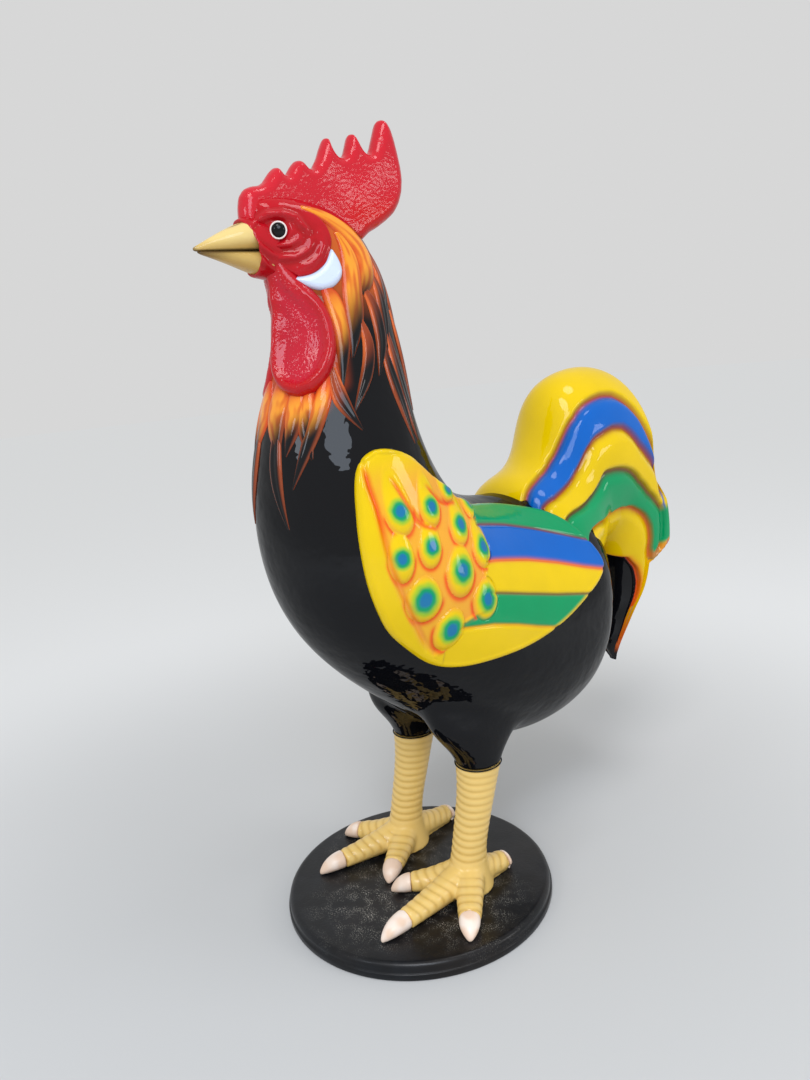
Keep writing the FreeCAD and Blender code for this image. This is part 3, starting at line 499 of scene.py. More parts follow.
def make_object(
    name: str, points: np.ndarray, faces: list, finish: "Finish | DustyPaint",
    colours: np.ndarray | None = None,
) -> bpy.types.Object:
    """Smooth-shaded object riding on the root body.

    Args:
        name: Object name.
        points: Vertices in millimetres above the disc's top.
        faces: Vertex numbers of the faces.
        finish: Its finish.
        colours: Linear colour of each vertex.

    Returns:
        The object.
    """
    mesh = bpy.data.meshes.new(name)
    metres = (np.asarray(points, float).reshape(-1, 3) + (0, 0, DISC_TOP)) / 1000
    mesh.from_pydata(metres.tolist(), [], faces)
    mesh.update()
    mesh.shade_smooth()
    thing = bpy.data.objects.new(name, mesh)
    bpy.context.scene.collection.objects.link(thing)
    if colours is not None:
        set_paint(mesh, colours)
    mesh.materials.append(finish.material())
    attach(thing, "root")
    return thing


def set_paint(mesh: bpy.types.Mesh, colours: np.ndarray) -> None:
    """Stores the paint of each vertex.

    Args:
        mesh: The mesh.
        colours: Linear colour of each vertex.
    """
    colours = np.asarray(colours, float).reshape(-1, 3)
    layer = mesh.color_attributes.new("paint", "FLOAT_COLOR", "POINT")
    filled = np.concatenate([colours, np.ones((len(colours), 1))], 1).astype(np.float32)
    layer.data.foreach_set("color", filled.ravel())


def grid_faces(rows: int, columns: int, closed: bool = False, flip: bool = False) -> list:
    """Quads of a grid of vertices.

    Args:
        rows: Rows of vertices.
        columns: Vertices in a row.
        closed: Whether each row closes on itself.
        flip: Whether the quads face the other way.

    Returns:
        Four vertex numbers for each quad.
    """
    faces = []
    for row in range(rows - 1):
        low, high = row * columns, (row + 1) * columns
        for column in range(columns if closed else columns - 1):
            after = (column + 1) % columns
            quad = (low + column, low + after, high + after, high + column)
            faces.append(quad[::-1] if flip else quad)
    return faces


def joined_grids(name: str, grids: list) -> bpy.types.Mesh:
    """Closed tubes of vertices, capped at both ends, in one mesh in millimetres.

    Args:
        name: Name of the mesh.
        grids: Rings of vertices of each tube.

    Returns:
        The mesh.
    """
    vertices, faces = [], []
    for grid in grids:
        rows, columns = grid.shape[:2]
        base = len(vertices)
        vertices.extend(grid.reshape(-1, 3).tolist())
        faces.extend(tuple(base + corner for corner in face) for face in grid_faces(rows, columns, closed=True))
        faces.append(tuple(base + column for column in range(columns))[::-1])
        faces.append(tuple(base + (rows - 1) * columns + column for column in range(columns)))
    mesh = bpy.data.meshes.new(name)
    mesh.from_pydata(vertices, [], faces)
    mesh.update()
    return mesh


def take_faces(mesh: bpy.types.Mesh) -> list:
    """Faces of a scratch mesh, which is then removed.

    Args:
        mesh: The mesh.

    Returns:
        Vertex numbers of each face.
    """
    faces = [tuple(face.vertices) for face in mesh.polygons]
    bpy.data.meshes.remove(mesh)
    return faces


def set_outward(thing: bpy.types.Object) -> None:
    """Turns a closed mesh's faces outward.

    Args:
        thing: The mesh's object.
    """
    edit = bmesh.new()
    edit.from_mesh(thing.data)
    bmesh.ops.recalc_face_normals(edit, faces=edit.faces)
    edit.to_mesh(thing.data)
    edit.free()


def even_mesh(mesh: bpy.types.Mesh, voxel: float) -> bpy.types.Mesh:
    """Even quads over the outside of a mesh, which is used up.

    Args:
        mesh: The mesh, closed.
        voxel: Size of the quads, in the mesh's unit.

    Returns:
        The new mesh.
    """
    holder = bpy.data.objects.new("even_mesh", mesh)
    bpy.context.scene.collection.objects.link(holder)
    grid = holder.modifiers.new("grid", "REMESH")
    grid.mode = "VOXEL"
    grid.voxel_size = voxel
    dense = bpy.data.meshes.new_from_object(holder.evaluated_get(bpy.context.evaluated_depsgraph_get()))
    bpy.data.objects.remove(holder)
    return dense


def mesh_points(mesh: bpy.types.Mesh) -> np.ndarray:
    """Vertices of a mesh as they are.

    Args:
        mesh: The mesh.

    Returns:
        Its vertices, in its own unit.
    """
    points = np.zeros(len(mesh.vertices) * 3)
    mesh.vertices.foreach_get("co", points)
    return points.reshape(-1, 3)


def relax(mesh: bpy.types.Mesh, points: np.ndarray, steps: int, weight: np.ndarray) -> np.ndarray:
    """Points moved towards the middle of their neighbours, by a weight for each.

    Args:
        mesh: Mesh whose edges join the points.
        points: Its vertices.
        steps: How often they move.
        weight: Share of each move, for each vertex.

    Returns:
        The moved points.
    """
    count = len(points)
    ends = np.zeros(len(mesh.edges) * 2, dtype=np.int64)
    mesh.edges.foreach_get("vertices", ends)
    first, second = ends.reshape(-1, 2).T
    friends = np.maximum(np.bincount(first, minlength=count) + np.bincount(second, minlength=count), 1)
    for _ in range(steps):
        mean = np.stack([
            np.bincount(first, points[second, axis], count) + np.bincount(second, points[first, axis], count)
            for axis in range(3)], -1) / friends[:, None]
        points = points + (mean - points) * 0.5 * weight[:, None]
    return points


def on_side(side: Side, points: np.ndarray) -> np.ndarray:
    """Points of the left side, mirrored for the right."""
    return points * (side.value, 1, 1)


def lay_patch(
    name: str, side: Side, grids: tuple, height: np.ndarray, colours: np.ndarray, finish: Finish
) -> bpy.types.Object:
    """Red patch on the body's skin, raised by a height at each vertex.

    Args:
        name: Object name.
        side: Side of the bird.
        grids: Ribs and angles of the vertices.
        height: Their heights.
        colours: Their colours.
        finish: The patch's finish.

    Returns:
        The object.
    """
    rib, angle = grids
    outward = BODY.outward(rib, angle)
    points = BODY.point(rib, angle) + outward * height[..., None]
    quad = points[1, 0] - points[0, 0], points[0, 1] - points[0, 0]
    facing = np.dot(np.cross(quad[1], quad[0]), outward[0, 0]) > 0
    faces = grid_faces(*rib.shape, flip=facing != (side is Side.LEFT))
    return make_object(name, on_side(side, points), faces, finish, colours)


def span_grid(spans: tuple, rows: int, columns: int) -> tuple:
    """Ribs and angles over spans of a patch, and the shares along and across it.

    Args:
        spans: Rib, first and last angle, from the patch's start to its end.
        rows: Rows of vertices.
        columns: Vertices in a row.

    Returns:
        The ribs and angles, and the shares along and across.
    """
    table = Table(spans)
    along, across = np.meshgrid(np.linspace(0, 1, rows), np.linspace(0, 1, columns), indexing="ij")
    row = table.at(along * (len(spans) - 1))
    return (row[..., 0], row[..., 1] + (row[..., 2] - row[..., 1]) * across), (along, across)


def side_place(y: np.ndarray, z: np.ndarray) -> tuple[np.ndarray, np.ndarray]:
    """Ribs and angles on the body's side of places in the side view.

    Args:
        y: First coordinates, in rows.
        z: Second coordinates.

    Returns:
        The ribs and the angles.
    """
    ribs = np.linspace(1.0, 16.9, 900)
    last = len(ribs) - 1
    row = BODY.table.at(ribs)
    middle = (row[:, 0:2] + row[:, 2:4]) / 2
    arm = (row[:, 0:2] - row[:, 2:4]) / 2
    size = np.sum(arm * arm, 1)
    rib = np.zeros(y.shape)
    angle = np.zeros(y.shape)
    for index in np.ndindex(y.shape[:-1]):
        dy = y[index][:, None] - middle[:, 0]
        dz = z[index][:, None] - middle[:, 1]
        share = (dy * arm[:, 0] + dz * arm[:, 1]) / size
        off = (dy * arm[:, 1] - dz * arm[:, 0]) / np.sqrt(size)
        best = np.argmin(np.abs(off) + 1e3 * (np.abs(share) > 1.0), 1)
        picked = np.arange(len(best))
        here = off[picked, best]
        rising = here * np.sign(off[picked, np.minimum(best + 1, last)] - here) > 0
        beside = np.clip(best + np.where(rising, -1, 1), 0, last)
        apart = here - off[picked, beside]
        part = np.clip(here / np.where(np.abs(apart) < 1e-9, 1e-9, apart), 0, 1)
        rib[index] = ribs[best] + (ribs[beside] - ribs[best]) * part
        share = share[picked, best] + (share[picked, beside] - share[picked, best]) * part
        angle[index] = np.degrees(np.arccos(np.clip(share, -1, 1)))
    return rib, angle


def along_line(line: np.ndarray, count: int) -> np.ndarray:
    """Evenly spaced points of a closed line.

    Args:
        line: The line's corners.
        count: How many points to make.

    Returns:
        The points.
    """
    closed = np.concatenate([line, line[:1]])
    lengths = np.concatenate([[0], np.cumsum(np.linalg.norm(np.diff(closed, axis=0), axis=1))])
    place = np.linspace(0, lengths[-1], count, endpoint=False)
    return np.stack([np.interp(place, lengths, closed[:, 0]), np.interp(place, lengths, closed[:, 1])], -1)


def smooth_outline(outline: tuple, count: int) -> np.ndarray:
    """Closed outline rounded by cutting its corners.

    Args:
        outline: The outline's y, z.
        count: How many points to make.

    Returns:
        Evenly spaced points of the rounded outline.
    """
    line = np.array(outline, float)
    for _ in range(3):
        after = np.roll(line, -1, 0)
        line = np.stack([0.75 * line + 0.25 * after, 0.25 * line + 0.75 * after], 1).reshape(-1, 2)
    return along_line(line, count)


@lru_cache(maxsize=None)
def outline_grid(outline: tuple, centre: tuple, rows: int, columns: int) -> tuple:
    """Grid over an outline in the side view, from its centre to its rim.

    Args:
        outline: The outline's y, z.
        centre: y, z from which the whole rim is seen.
        rows: Rings of vertices.
        columns: Vertices to a ring.

    Returns:
        The ribs and angles, and the distance of each vertex to the rim.
    """
    rim = smooth_outline(outline, columns)
    share = 1 - (1 - np.linspace(0.004, 1, rows)) ** 1.25
    share[-1] = 1.0
    y = centre[0] + share[:, None] * (rim[:, 0] - centre[0])
    z = centre[1] + share[:, None] * (rim[:, 1] - centre[1])
    distance, _ = to_path(y, z, np.concatenate([rim, rim[:1]])[::3])
    distance[-1] = 0
    return side_place(y, z), distance


def lay_disc(
    name: str, side: Side, grids: tuple, height: np.ndarray, colours: np.ndarray
) -> bpy.types.Object:
    """Lacquered patch over an outline, raised from the body's skin by a height at each vertex.

    Args:
        name: Object name.
        side: Side of the bird.
        grids: Ribs and angles of the vertices.
        height: Their heights.
        colours: Their colours.

    Returns:
        The object.
    """
    rib, angle = grids
    outward = BODY.outward(rib, angle)
    points = BODY.point(rib, angle) + outward * height[..., None]
    faces = grid_faces(*rib.shape, closed=True)
    faces.append(tuple(range(rib.shape[1])))
    corner = points[-2, 0]
    facing = np.dot(np.cross(points[-2, 1] - corner, points[-1, 0] - corner), outward[-2, 0])
    if (facing > 0) == (side is Side.RIGHT):
        faces = [face[::-1] for face in faces]
    return make_object(name, on_side(side, points), faces, LACQUER, colours)


def rim_distance(grids: tuple) -> np.ndarray:
    """Distance in millimetres of a patch's vertices to its edge.

    Args:
        grids: Ribs and angles of the vertices.

    Returns:
        The distances.
    """
    points = BODY.point(*grids)
    edge = np.concatenate([points[0], points[:, -1], points[-1][::-1], points[:, 0][::-1], points[:1, 0]])[::3]
    best = np.full(points.shape[:2], 1e9)
    for first, second in zip(edge, edge[1:]):
        run = second - first
        share = np.clip(((points - first) @ run) / (run @ run + 1e-9), 0, 1)
        best = np.minimum(best, np.linalg.norm(points - first - share[..., None] * run, axis=-1))
    return best


class Relief:
    """Heights and colours worked up over a patch of the body's skin."""

    def __init__(self, grids: tuple, rim: np.ndarray, height: np.ndarray, colour: np.ndarray) -> None:
        """Lays the first coat.

        Args:
            grids: Ribs and angles of the vertices.
            rim: Their distance to the rim.
            height: Their first height.
            colour: The first colour.
        """
        self.points = BODY.point(*grids)
        self.y, self.z = self.points[..., 1], self.points[..., 2]
        self.rim = rim
        self.height = height
        self.colours = coated(self.points, colour)

    def paint(self, colour: np.ndarray, mask: np.ndarray) -> None:
        """Lays a colour over the patch by a mask."""
        self.colours = paint_over(self.colours, colour, mask)


def fold(y: np.ndarray, z: np.ndarray, line: tuple, width: float, margin: float, power: float) -> tuple:
    """Fold of skin along a line.

    Args:
        y: First coordinates.
        z: Second coordinates.
        line: The line's y, z.
        width: Width of the ridge.
        margin: Share of the line over which each end fades.
        power: How suddenly it fades.

    Returns:
        The ridge and the valley beside it, each up to 1.
    """
    distance, share = to_path(y, z, line)
    ends = np.sin(np.pi * np.clip(share, margin, 1 - margin)) ** power
    return bell(distance, width) * ends, bell(distance - 1.9 * width, width) * ends


@dataclass
class Body:
    """Black shell of trunk, neck and head, grown together with the thighs, with the paint round the face."""

    rows: int = 420
    columns: int = 240
    voxel: float = 3.2
    smoothing: int = 14
    belly_smoothing: int = 80
    painted_over: float = 700.0
    # Ribs and angles over which the warm paint of the neck, the throat, the crown and the chin fades in
    neck_paint: tuple = ((12.1, 13.7), (25, 60))
    throat_paint: tuple = ((10.55, 11.2), (100, 118), (12.2, 11.8))
    crown_paint: tuple = (14.9, 15.4)
    chin_paint: tuple = ((13.2, 13.8), (112, 128))

    def build(self) -> bpy.types.Object:
        """Makes the shell, with the crease between trunk and thighs smoothed away.

        Returns:
            The shell.
        """
        round_degrees = np.linspace(0, 360, self.columns, endpoint=False)
        rib, angle = np.meshgrid(np.linspace(0, len(BODY_RIBS) - 1, self.rows), round_degrees, indexing="ij")
        grids = [BODY.point(rib, angle)] + [Thigh().points(side) for side in Side]
        dense = even_mesh(joined_grids("shell_grid", grids), self.voxel)
        spots = mesh_points(dense)
        belly = ramp(spots[:, 2], 460, 380) * ramp(spots[:, 2], 206, 216)
        spots = relax(dense, spots, self.smoothing, np.ones(len(spots)))
        spots = relax(dense, spots, self.belly_smoothing, belly)
        thing = make_object("body", spots, take_faces(dense), BLACK_LACQUER, self.paint(spots))
        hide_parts("body_shell_left", "body_shell_right")
        return thing

    def paint(self, spots: np.ndarray) -> np.ndarray:
        """Black, with orange, brown and red round the face and wattles.

        Args:
            spots: Vertices of the shell.

        Returns:
            Their colours.
        """
        colours = coated(spots, BLACK)
        neck, throat, chin = self.neck_paint, self.throat_paint, self.chin_paint
        upper = np.nonzero(spots[:, 2] > self.painted_over)[0]
        for row in np.array_split(upper, max(1, len(upper) // 400)):
            rib, turned = (grid[0] for grid in side_place(spots[row, 1][None, :], spots[row, 2][None, :]))
            here = colours[row]
            flicker = 0.35 * grain(spots[row], 30.0)
            warm = ramp(rib + flicker, *neck[0]) * ramp(turned + 20 * flicker, *neck[1])
            here = paint_over(here, RUST, 0.9 * warm)
            low = ramp(rib + flicker, *throat[0]) * ramp(turned, *throat[1]) * ramp(rib, *throat[2])
            here = paint_over(here, THROAT_ORANGE, 0.85 * low)
            here = paint_over(here, RED, ramp(rib, *self.crown_paint))
            colours[row] = paint_over(here, RED, ramp(rib, *chin[0]) * ramp(turned, *chin[1]))
        return colours


@dataclass
class Thigh:
    """Lower end of the thigh, a funnel from the belly down to the ring on the leg.

    The flare's rows are height over the ring, then how far it reaches forward, back, in and out.
    """

    low: float = 205.0
    setback: float = 78.0
    lip: float = 1.1
    lip_radius: float = 37.2
    lip_lift: float = 0.6
    # Rows and columns of vertices
    grid: tuple = (80, 120)
    lip_grid: tuple = (13, 96)
    flare: tuple = (
        (0, 38, 38, 38, 38), (10, 40, 42, 40, 39), (22, 46, 54, 44, 40), (36, 56, 70, 50, 41), (52, 68, 86, 58, 41),
        (72, 80, 98, 66, 40), (100, 88, 104, 72, 36), (135, 86, 100, 70, 26), (170, 76, 90, 60, 16),
    )

    def points(self, side: Side) -> np.ndarray:
        """Rings of vertices of one side's funnel.

        Args:
            side: Side of the bird.

        Returns:
            The rings, upwards.
        """
        count, columns = self.grid
        rows = Table(self.flare).at(np.linspace(0, len(self.flare) - 1, count))
        turn = turns(columns)
        x, y = np.cos(turn), np.sin(turn)
        rings = [
            np.stack([
                STANCE / 2 + x * np.where(x > 0, outer, inner), self.setback + y * np.where(y > 0, back, ahead),
                np.full_like(turn, self.low + height)], -1)
            for height, ahead, back, inner, outer in rows
        ]
        return on_side(side, np.array(rings))

    def cuff(self, side: Side) -> bpy.types.Object:
        """Makes the thin lip where the lacquer ends on the leg.

        Args:
            side: Side of the bird.

        Returns:
            The lip.
        """
        rows, columns = self.lip_grid
        turn = turns(columns)
        rings = []
        for tube in np.linspace(0, FULL_TURN, rows):
            wide = self.lip_radius + self.lip * math.cos(tube)
            rings.append(np.stack([
                STANCE / 2 + wide * np.cos(turn), self.setback + wide * np.sin(turn),
                np.full_like(turn, self.low + self.lip_lift + self.lip * math.sin(tube))], -1))
        points = on_side(side, np.array(rings))
        faces = grid_faces(rows, columns, closed=True)
        thing = make_object(
            "thigh_lip_" + side.word, points, faces, BLACK_LACQUER, coated(points, BLACK))
        set_outward(thing)
        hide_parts("thigh_" + side.word)
        return thing


@dataclass
class Wing:
    """Raised yellow wing with spotted scallops and colour bars."""

    rise: float = 14.0
    edge: float = 11.0
    groove: float = 2.4
    rows: int = 170
    columns: int = 840
    # Depth of the bed of the scallops and their rise in it
    scallop_bed: float = 3.6
    scallop_rise: float = 8.4
    # Outer and inner radius of the rings of an eye spot, on a scallop of this half width
    eye_width: float = 20.0
    eye_rings: tuple = ((17.5, 12.0), (13.0, 9.0), (8.8, 4.5))
    # Middle y, z and half widths of the flame patch under the scallops
    glow: tuple = (35.0, 462.0, 34.0, 13.0)
    # Depth and width of the groove along the front and of the creases
    front_groove: tuple = (4.4, 3.2)
    crease: tuple = (2.6, 3.4)
    outline: tuple = (
        (-116, 696), (-108, 712), (-96, 723), (-80, 728), (-58, 725), (-26, 711), (6, 680), (26, 662), (48, 647),
        (70, 630), (91, 619), (140, 610), (178, 603), (214, 594), (254, 582), (285, 559), (307, 527), (326, 487),
        (305, 466), (257, 444), (197, 421), (126, 406), (59, 402), (5, 401), (-37, 414), (-75, 452), (-96, 478),
        (-110, 513), (-119, 545), (-123, 572), (-125, 598), (-125, 626), (-123, 650), (-121, 671),
    )
    centre: tuple = (60.0, 545.0)
    # Scallops: spot y, z, tip y, z, half width and length above the spot
    scallops: tuple = (
        (-71, 642, -68, 609, 20, 66), (-23, 639, -22, 612, 18, 52), (19, 652, 25, 636, 13, 34),
        (68, 622, 66, 602, 15, 40), (24, 604, 19, 577, 19, 48), (-34, 588, -37, 559, 18, 44),
        (-77, 581, -77, 547, 18, 40), (58, 565, 54, 538, 19, 46), (9, 546, 3, 510, 24, 38),
        (-50, 520, -54, 488, 26, 32), (45, 498, 37, 468, 23, 30), (-14, 470, -26, 441, 22, 30),
    )
    front: tuple = (
        (-104, 712), (-104, 703), (-103, 679), (-99, 652), (-97, 628), (-95, 601), (-91, 571), (-81, 538), (-69, 505),
        (-55, 472), (-43, 445), (-30, 428),
    )
    feathers_end: tuple = (
        (-34, 432), (-14, 452), (4, 474), (30, 482), (48, 486), (52, 512), (52, 540), (60, 556), (64, 580),
        (64, 600), (70, 612), (66, 634), (46, 658), (4, 690), (-40, 716), (-85, 722),
    )
    green_blue: tuple = ((0, 612), (72, 593), (145, 576), (204, 559), (252, 543), (295, 528), (340, 512))
    blue_yellow: tuple = ((0, 556), (80, 543), (152, 527), (214, 510), (267, 493), (309, 481), (350, 470))
    yellow_green: tuple = ((0, 512), (71, 499), (129, 483), (192, 467), (253, 454), (300, 444))
    green_low: tuple = ((0, 466), (56, 458), (99, 446), (138, 433), (185, 419), (240, 404))
    # Colour, width and offset of the four lines between the bars
    line_paints: tuple = (
        ((120, 66, 84), 2.0, 0.0), ((226, 106, 40), 3.4, 1.2), ((120, 100, 50), 2.2, 0.0), ((228, 170, 20), 2.4, 0.0))
    creases: tuple = (
        ((-77, 695), (-69, 675), (-60, 652), (-50, 631), (-38, 616), (-22, 609)),
        ((-25, 673), (-15, 658), (-1, 643), (12, 636), (26, 634)),
    )

    def bars(self, wing: "Relief", behind: np.ndarray) -> None:
        """Paints the green and blue bars of the long feathers and sinks the lines between them.

        Args:
            wing: The wing so far.
            behind: Share of each vertex that lies on the long feathers.
        """
        y, z, rim = wing.y, wing.z, wing.rim
        over = [above(y, z, line) for line in (self.green_blue, self.blue_yellow, self.yellow_green, self.green_low)]
        wing.paint(GREEN, ramp(over[0], -1, 1) * behind)
        wing.paint(BLUE, ramp(-over[0], -1, 1) * ramp(over[1], -1, 1) * behind)
        wing.paint(GREEN, ramp(-over[2], -1, 1.5) * ramp(over[3], -1, 2) * behind * ramp(rim, 5, 12))
        for line, (colour, width, offset) in zip(over, self.line_paints):
            wing.paint(srgb(*colour), bell(line + offset, width) * behind * ramp(rim, 2, 6))
            wing.height -= self.groove * bell(line, 3.0) * behind
        wing.height -= 1.6 * behind * ramp(rim, 4, 14)
        wing.paint(YELLOW, ramp(rim, 4.5, 2.5))

    def scallop(self, wing: "Relief", number: int) -> tuple:
        """Places measured from a scallop's spot.

        Args:
            wing: The wing.
            number: The scallop's number.

        Returns:
            How far each vertex lies towards the tip and across, the same distance towards the tip as a share of the
            scallop, the tip's distance, and the scallop's half width and length.
        """
        spot_y, spot_z, tip_y, tip_z, wide, tall = self.scallops[number]
        down = np.array([tip_y - spot_y, tip_z - spot_z], float)
        length = np.linalg.norm(down)
        down /= length
        along = (wing.y - spot_y) * down[0] + (wing.z - spot_z) * down[1]
        across = (wing.y - spot_y) * down[1] - (wing.z - spot_z) * down[0]
        return along, across, np.where(along > 0, along / length, along / tall), length, wide, tall

    def spots(self, wing: "Relief", feathers: np.ndarray) -> None:
        """Raises and paints the overlapping scallops with their eye spots.

        Args:
            wing: The wing so far.
            feathers: Distance to the scallops' area, negative inside.
        """
        best = np.full(wing.y.shape, 0.0)
        owner = np.full(wing.y.shape, -1)
        for number in range(len(self.scallops)):
            along, across, share, length, wide, tall = self.scallop(wing, number)
            narrowing = np.where(along < 0, 1 + 0.25 * along / tall, 1.0)
            r = np.hypot(share, across / (wide * np.clip(narrowing, 0.3, 1)))
            dome = (1 - np.clip(r, 0, 1) ** 3.2) * (0.62 + 0.38 * np.clip(along / length, -1, 1))
            dome = dome + 0.02 * number * (r < 1)
            wins = dome * (r < 1) > best
            best = np.where(wins, dome, best)
            owner = np.where(wins, number, owner)
            low = bell(r - 1.06, 0.13) * ramp(along, -4, 10)
            wing.paint(FLAME, 0.85 * low * ramp(feathers, 9, 3) * (owner != number))
        area = np.maximum(ramp(feathers, 2, -4), ramp(best, 0.0, 0.12))
        for number in range(len(self.scallops)):
            along, across, share, _, wide, _ = self.scallop(wing, number)
            mine = (owner == number) * area
            wing.paint(YELLOW, mine * ramp(np.hypot(share, across / wide), 1.0, 0.72))
            spot = np.hypot(across, along * 0.86) + 1.2 * grain(wing.points, 9.0, number)
            size = wide / self.eye_width
            for colour, (outer, inner) in zip((HALO, GREEN, EYE_BLUE), self.eye_rings):
                wing.paint(colour, mine * ramp(spot, outer * size, inner * size))
        wing.height += area * (self.scallop_rise * best - self.scallop_bed)

    def build(self, side: Side) -> bpy.types.Object:
        """Makes the wing of one side.

        Args:
            side: Side of the bird.

        Returns:
            The wing.
        """
        grids, rim = outline_grid(self.outline, self.centre, self.rows, self.columns)
        wing = Relief(grids, rim, self.rise * rounded(rim, self.edge) - SUNK, YELLOW)
        y, z = wing.y, wing.z
        feathers = signed(y, z, self.front + self.feathers_end)
        from_front = to_path(y, z, self.front)[0]
        self.bars(wing, np.where(y > -20, 1.0, 0.0) * ramp(feathers, -2, 4))
        glow_y, glow_z, wide, tall = self.glow
        glow = np.exp(-((y - glow_y) / wide) ** 2 - ((z - glow_z) / tall) ** 2)
        wing.paint(FLAME, 0.95 * glow * ramp(feathers, 9, -6))
        sheen = 0.55 + 0.45 * grain(wing.points, 34.0)
        orange = ramp(feathers, 2, -4) * (0.5 + 0.3 * sheen) * (1 - 0.35 * bell(from_front, 60))
        wing.paint(ORANGE, orange * ramp(z, 722, 662))
        self.spots(wing, feathers)
        depth, width = self.front_groove
        wing.height -= depth * bell(from_front, width) * ramp(z, 432, 462)
        wing.paint(FLAME, 0.9 * bell(from_front, 4.2) * ramp(z, 560, 640) * ramp(z, 712, 690))
        wing.paint(ORANGE, 0.75 * bell(from_front, 4.5) * ramp(z, 620, 560) * ramp(z, 440, 470))
        depth, width = self.crease
        for line in self.creases:
            distance, share = to_path(y, z, line)
            wing.height -= depth * bell(distance, width) * np.sin(np.pi * np.clip(share, 0.08, 0.92))
            wing.paint(FLAME, 0.8 * bell(distance, 3.6) * ramp(share, 0, 0.25))
        height = np.where(rim < 0.2, -SUNK, wing.height)
        thing = lay_disc("wing_relief_" + side.word, side, grids, height, wing.colours)
        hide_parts("wing_" + side.word)
        return thing


@dataclass
class HeadSide:
    """Red face with its folds, pale ear lobe, hanging wattle, and eye of one side."""

    face_spans: tuple = (
        (13.62, 126.0, 138.0), (13.8, 112.0, 147.0), (14.0, 104.0, 154.0), (14.3, 97.0, 166.0), (14.6, 91.0, 176.0),
        (15.0, 87.0, 179.0), (15.3, 86.0, 179.0), (15.6, 87.0, 176.0), (15.85, 94.0, 168.0), (16.15, 106.0, 150.0),
    )
    ear_outline: tuple = (
        (-77, 995), (-71, 986), (-66, 975), (-64, 963), (-69, 952), (-80, 943), (-96, 939), (-111, 944), (-122, 952),
        (-129, 961), (-118, 960), (-106, 962), (-96, 967), (-87, 976), (-82, 986),
    )
    wattle_spans: tuple = (
        (11.02, 133.0, 145.0), (11.13, 125.0, 156.0), (11.35, 118.5, 168.0), (11.8, 113.5, 177.0),
        (12.4, 114.5, 178.5), (12.8, 119.0, 178.5), (13.2, 127.0, 178.5), (13.6, 138.0, 178.5),
        (14.0, 148.0, 178.5), (14.35, 155.0, 178.5), (14.7, 160.0, 178.5),
    )
    folds: tuple = (
        (((-164, 1022), (-160, 1033), (-149, 1040), (-134, 1039), (-118, 1032), (-104, 1016)), 3.6, 4.2),
        (((-158, 1014), (-152, 1006), (-141, 1001), (-128, 1001), (-114, 1009)), 2.4, 3.4),
        (((-161, 1006), (-152, 994), (-139, 987), (-122, 985), (-107, 992), (-99, 1005)), 3.0, 4.4),
        (((-122, 971), (-106, 975), (-95, 984), (-88, 997), (-90, 1012)), 2.6, 5.0),
        (((-117, 1027), (-108, 1018), (-104, 1006)), 2.0, 3.0),
    )
    muzzle_folds: tuple = (
        (((-178, 999), (-168, 988), (-156, 976), (-142, 966), (-128, 958)), 3.4, 3.2),
        (((-170, 974), (-158, 969), (-146, 962)), 2.4, 2.8),
        (((-176, 1022), (-168, 1031), (-156, 1038)), 2.2, 2.8),
        (((-172, 1009), (-163, 999), (-150, 990), (-136, 985)), 2.6, 2.8),
    )
    # Rings of the muzzle: y at the top and at the bottom, half width, top, bottom
    muzzle_rings: tuple = (
        (-174, -158, 24.0, 1029, 974), (-180, -164, 26.6, 1034, 970.5), (-181.5, -166, 28.6, 1037, 967.5),
        (-179, -164, 30.0, 1039, 965.5), (-173, -157, 31.0, 1041, 964), (-163, -147, 32.5, 1042, 962),
        (-149, -135, 34.5, 1042, 960), (-132, -120, 34.0, 1038, 962), (-112, -100, 30.0, 1032, 966),
    )
    wattle_creases: tuple = (
        ((-153, 985), (-143, 952), (-132, 922), (-124, 896)), ((-146, 976), (-127, 943), (-112, 912), (-108, 880)))
    eye: tuple = (-143.0, 1019.0)
    eye_place: tuple = (15.1, 138.0)
    eye_radius: float = 9.6
    eye_height: float = 6.5
    eye_stand: float = 1.6
    # Radius, height and thickness of the white ring
    eye_ring: tuple = (10.3, 2.2, 1.1)
    # Depth of the hollow round the eye, and where it begins and ends
    eye_hollow: tuple = (2.4, 18.0, 12.0)
    # Rise and width of the rounded edge of the face and the lobe, and how deep edge and rim start in the skin
    face_edge: tuple = (5.0, 5.0)
    lobe_edge: tuple = (8.5, 9.0)
    edge_depth: float = 1.5
    rim_depth: float = 2.0
    wattle_edge: float = 12.0
    wattle_pebble: float = 4.6
    wattle_crease: tuple = (2.6, 4.0)
    muzzle_power: float = 0.85
    ear_centre: tuple = (-82.0, 957.0)
    # Rows and columns of vertices
    face_grid: tuple = (170, 170)
    muzzle_grid: tuple = (70, 140)
    ear_grid: tuple = (50, 220)
    wattle_grid: tuple = (260, 200)

    def face(self, side: Side) -> bpy.types.Object:
        """Makes the red face round the eye.

        Args:
            side: Side of the bird.

        Returns:
            The face.
        """
        grids, _ = span_grid(self.face_spans, *self.face_grid)
        rim = rim_distance(grids)
        rise, width = self.face_edge
        face = Relief(grids, rim, rise * rounded(rim, width) - self.edge_depth, RED)
        for line, rise, width in self.folds:
            ridge, valley = fold(face.y, face.z, line, width, 0.04, 0.6)
            face.height += (rise * ridge - 0.42 * rise * valley) * ramp(rim, 1, 6)
            # Painted shade: the sunk valley beside each fold is painted darker red
            face.paint(DEEP_RED * 0.75, 0.5 * valley)
        depth, start, end = self.eye_hollow
        face.height -= depth * ramp(np.hypot(face.y - self.eye[0], face.z - self.eye[1]), start, end)
        height = np.where(rim < 0.4, -self.rim_depth, face.height)
        thing = lay_patch("face_relief_" + side.word, side, grids, height, face.colours, LACQUER)
        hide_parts("face_" + side.word)
        return thing

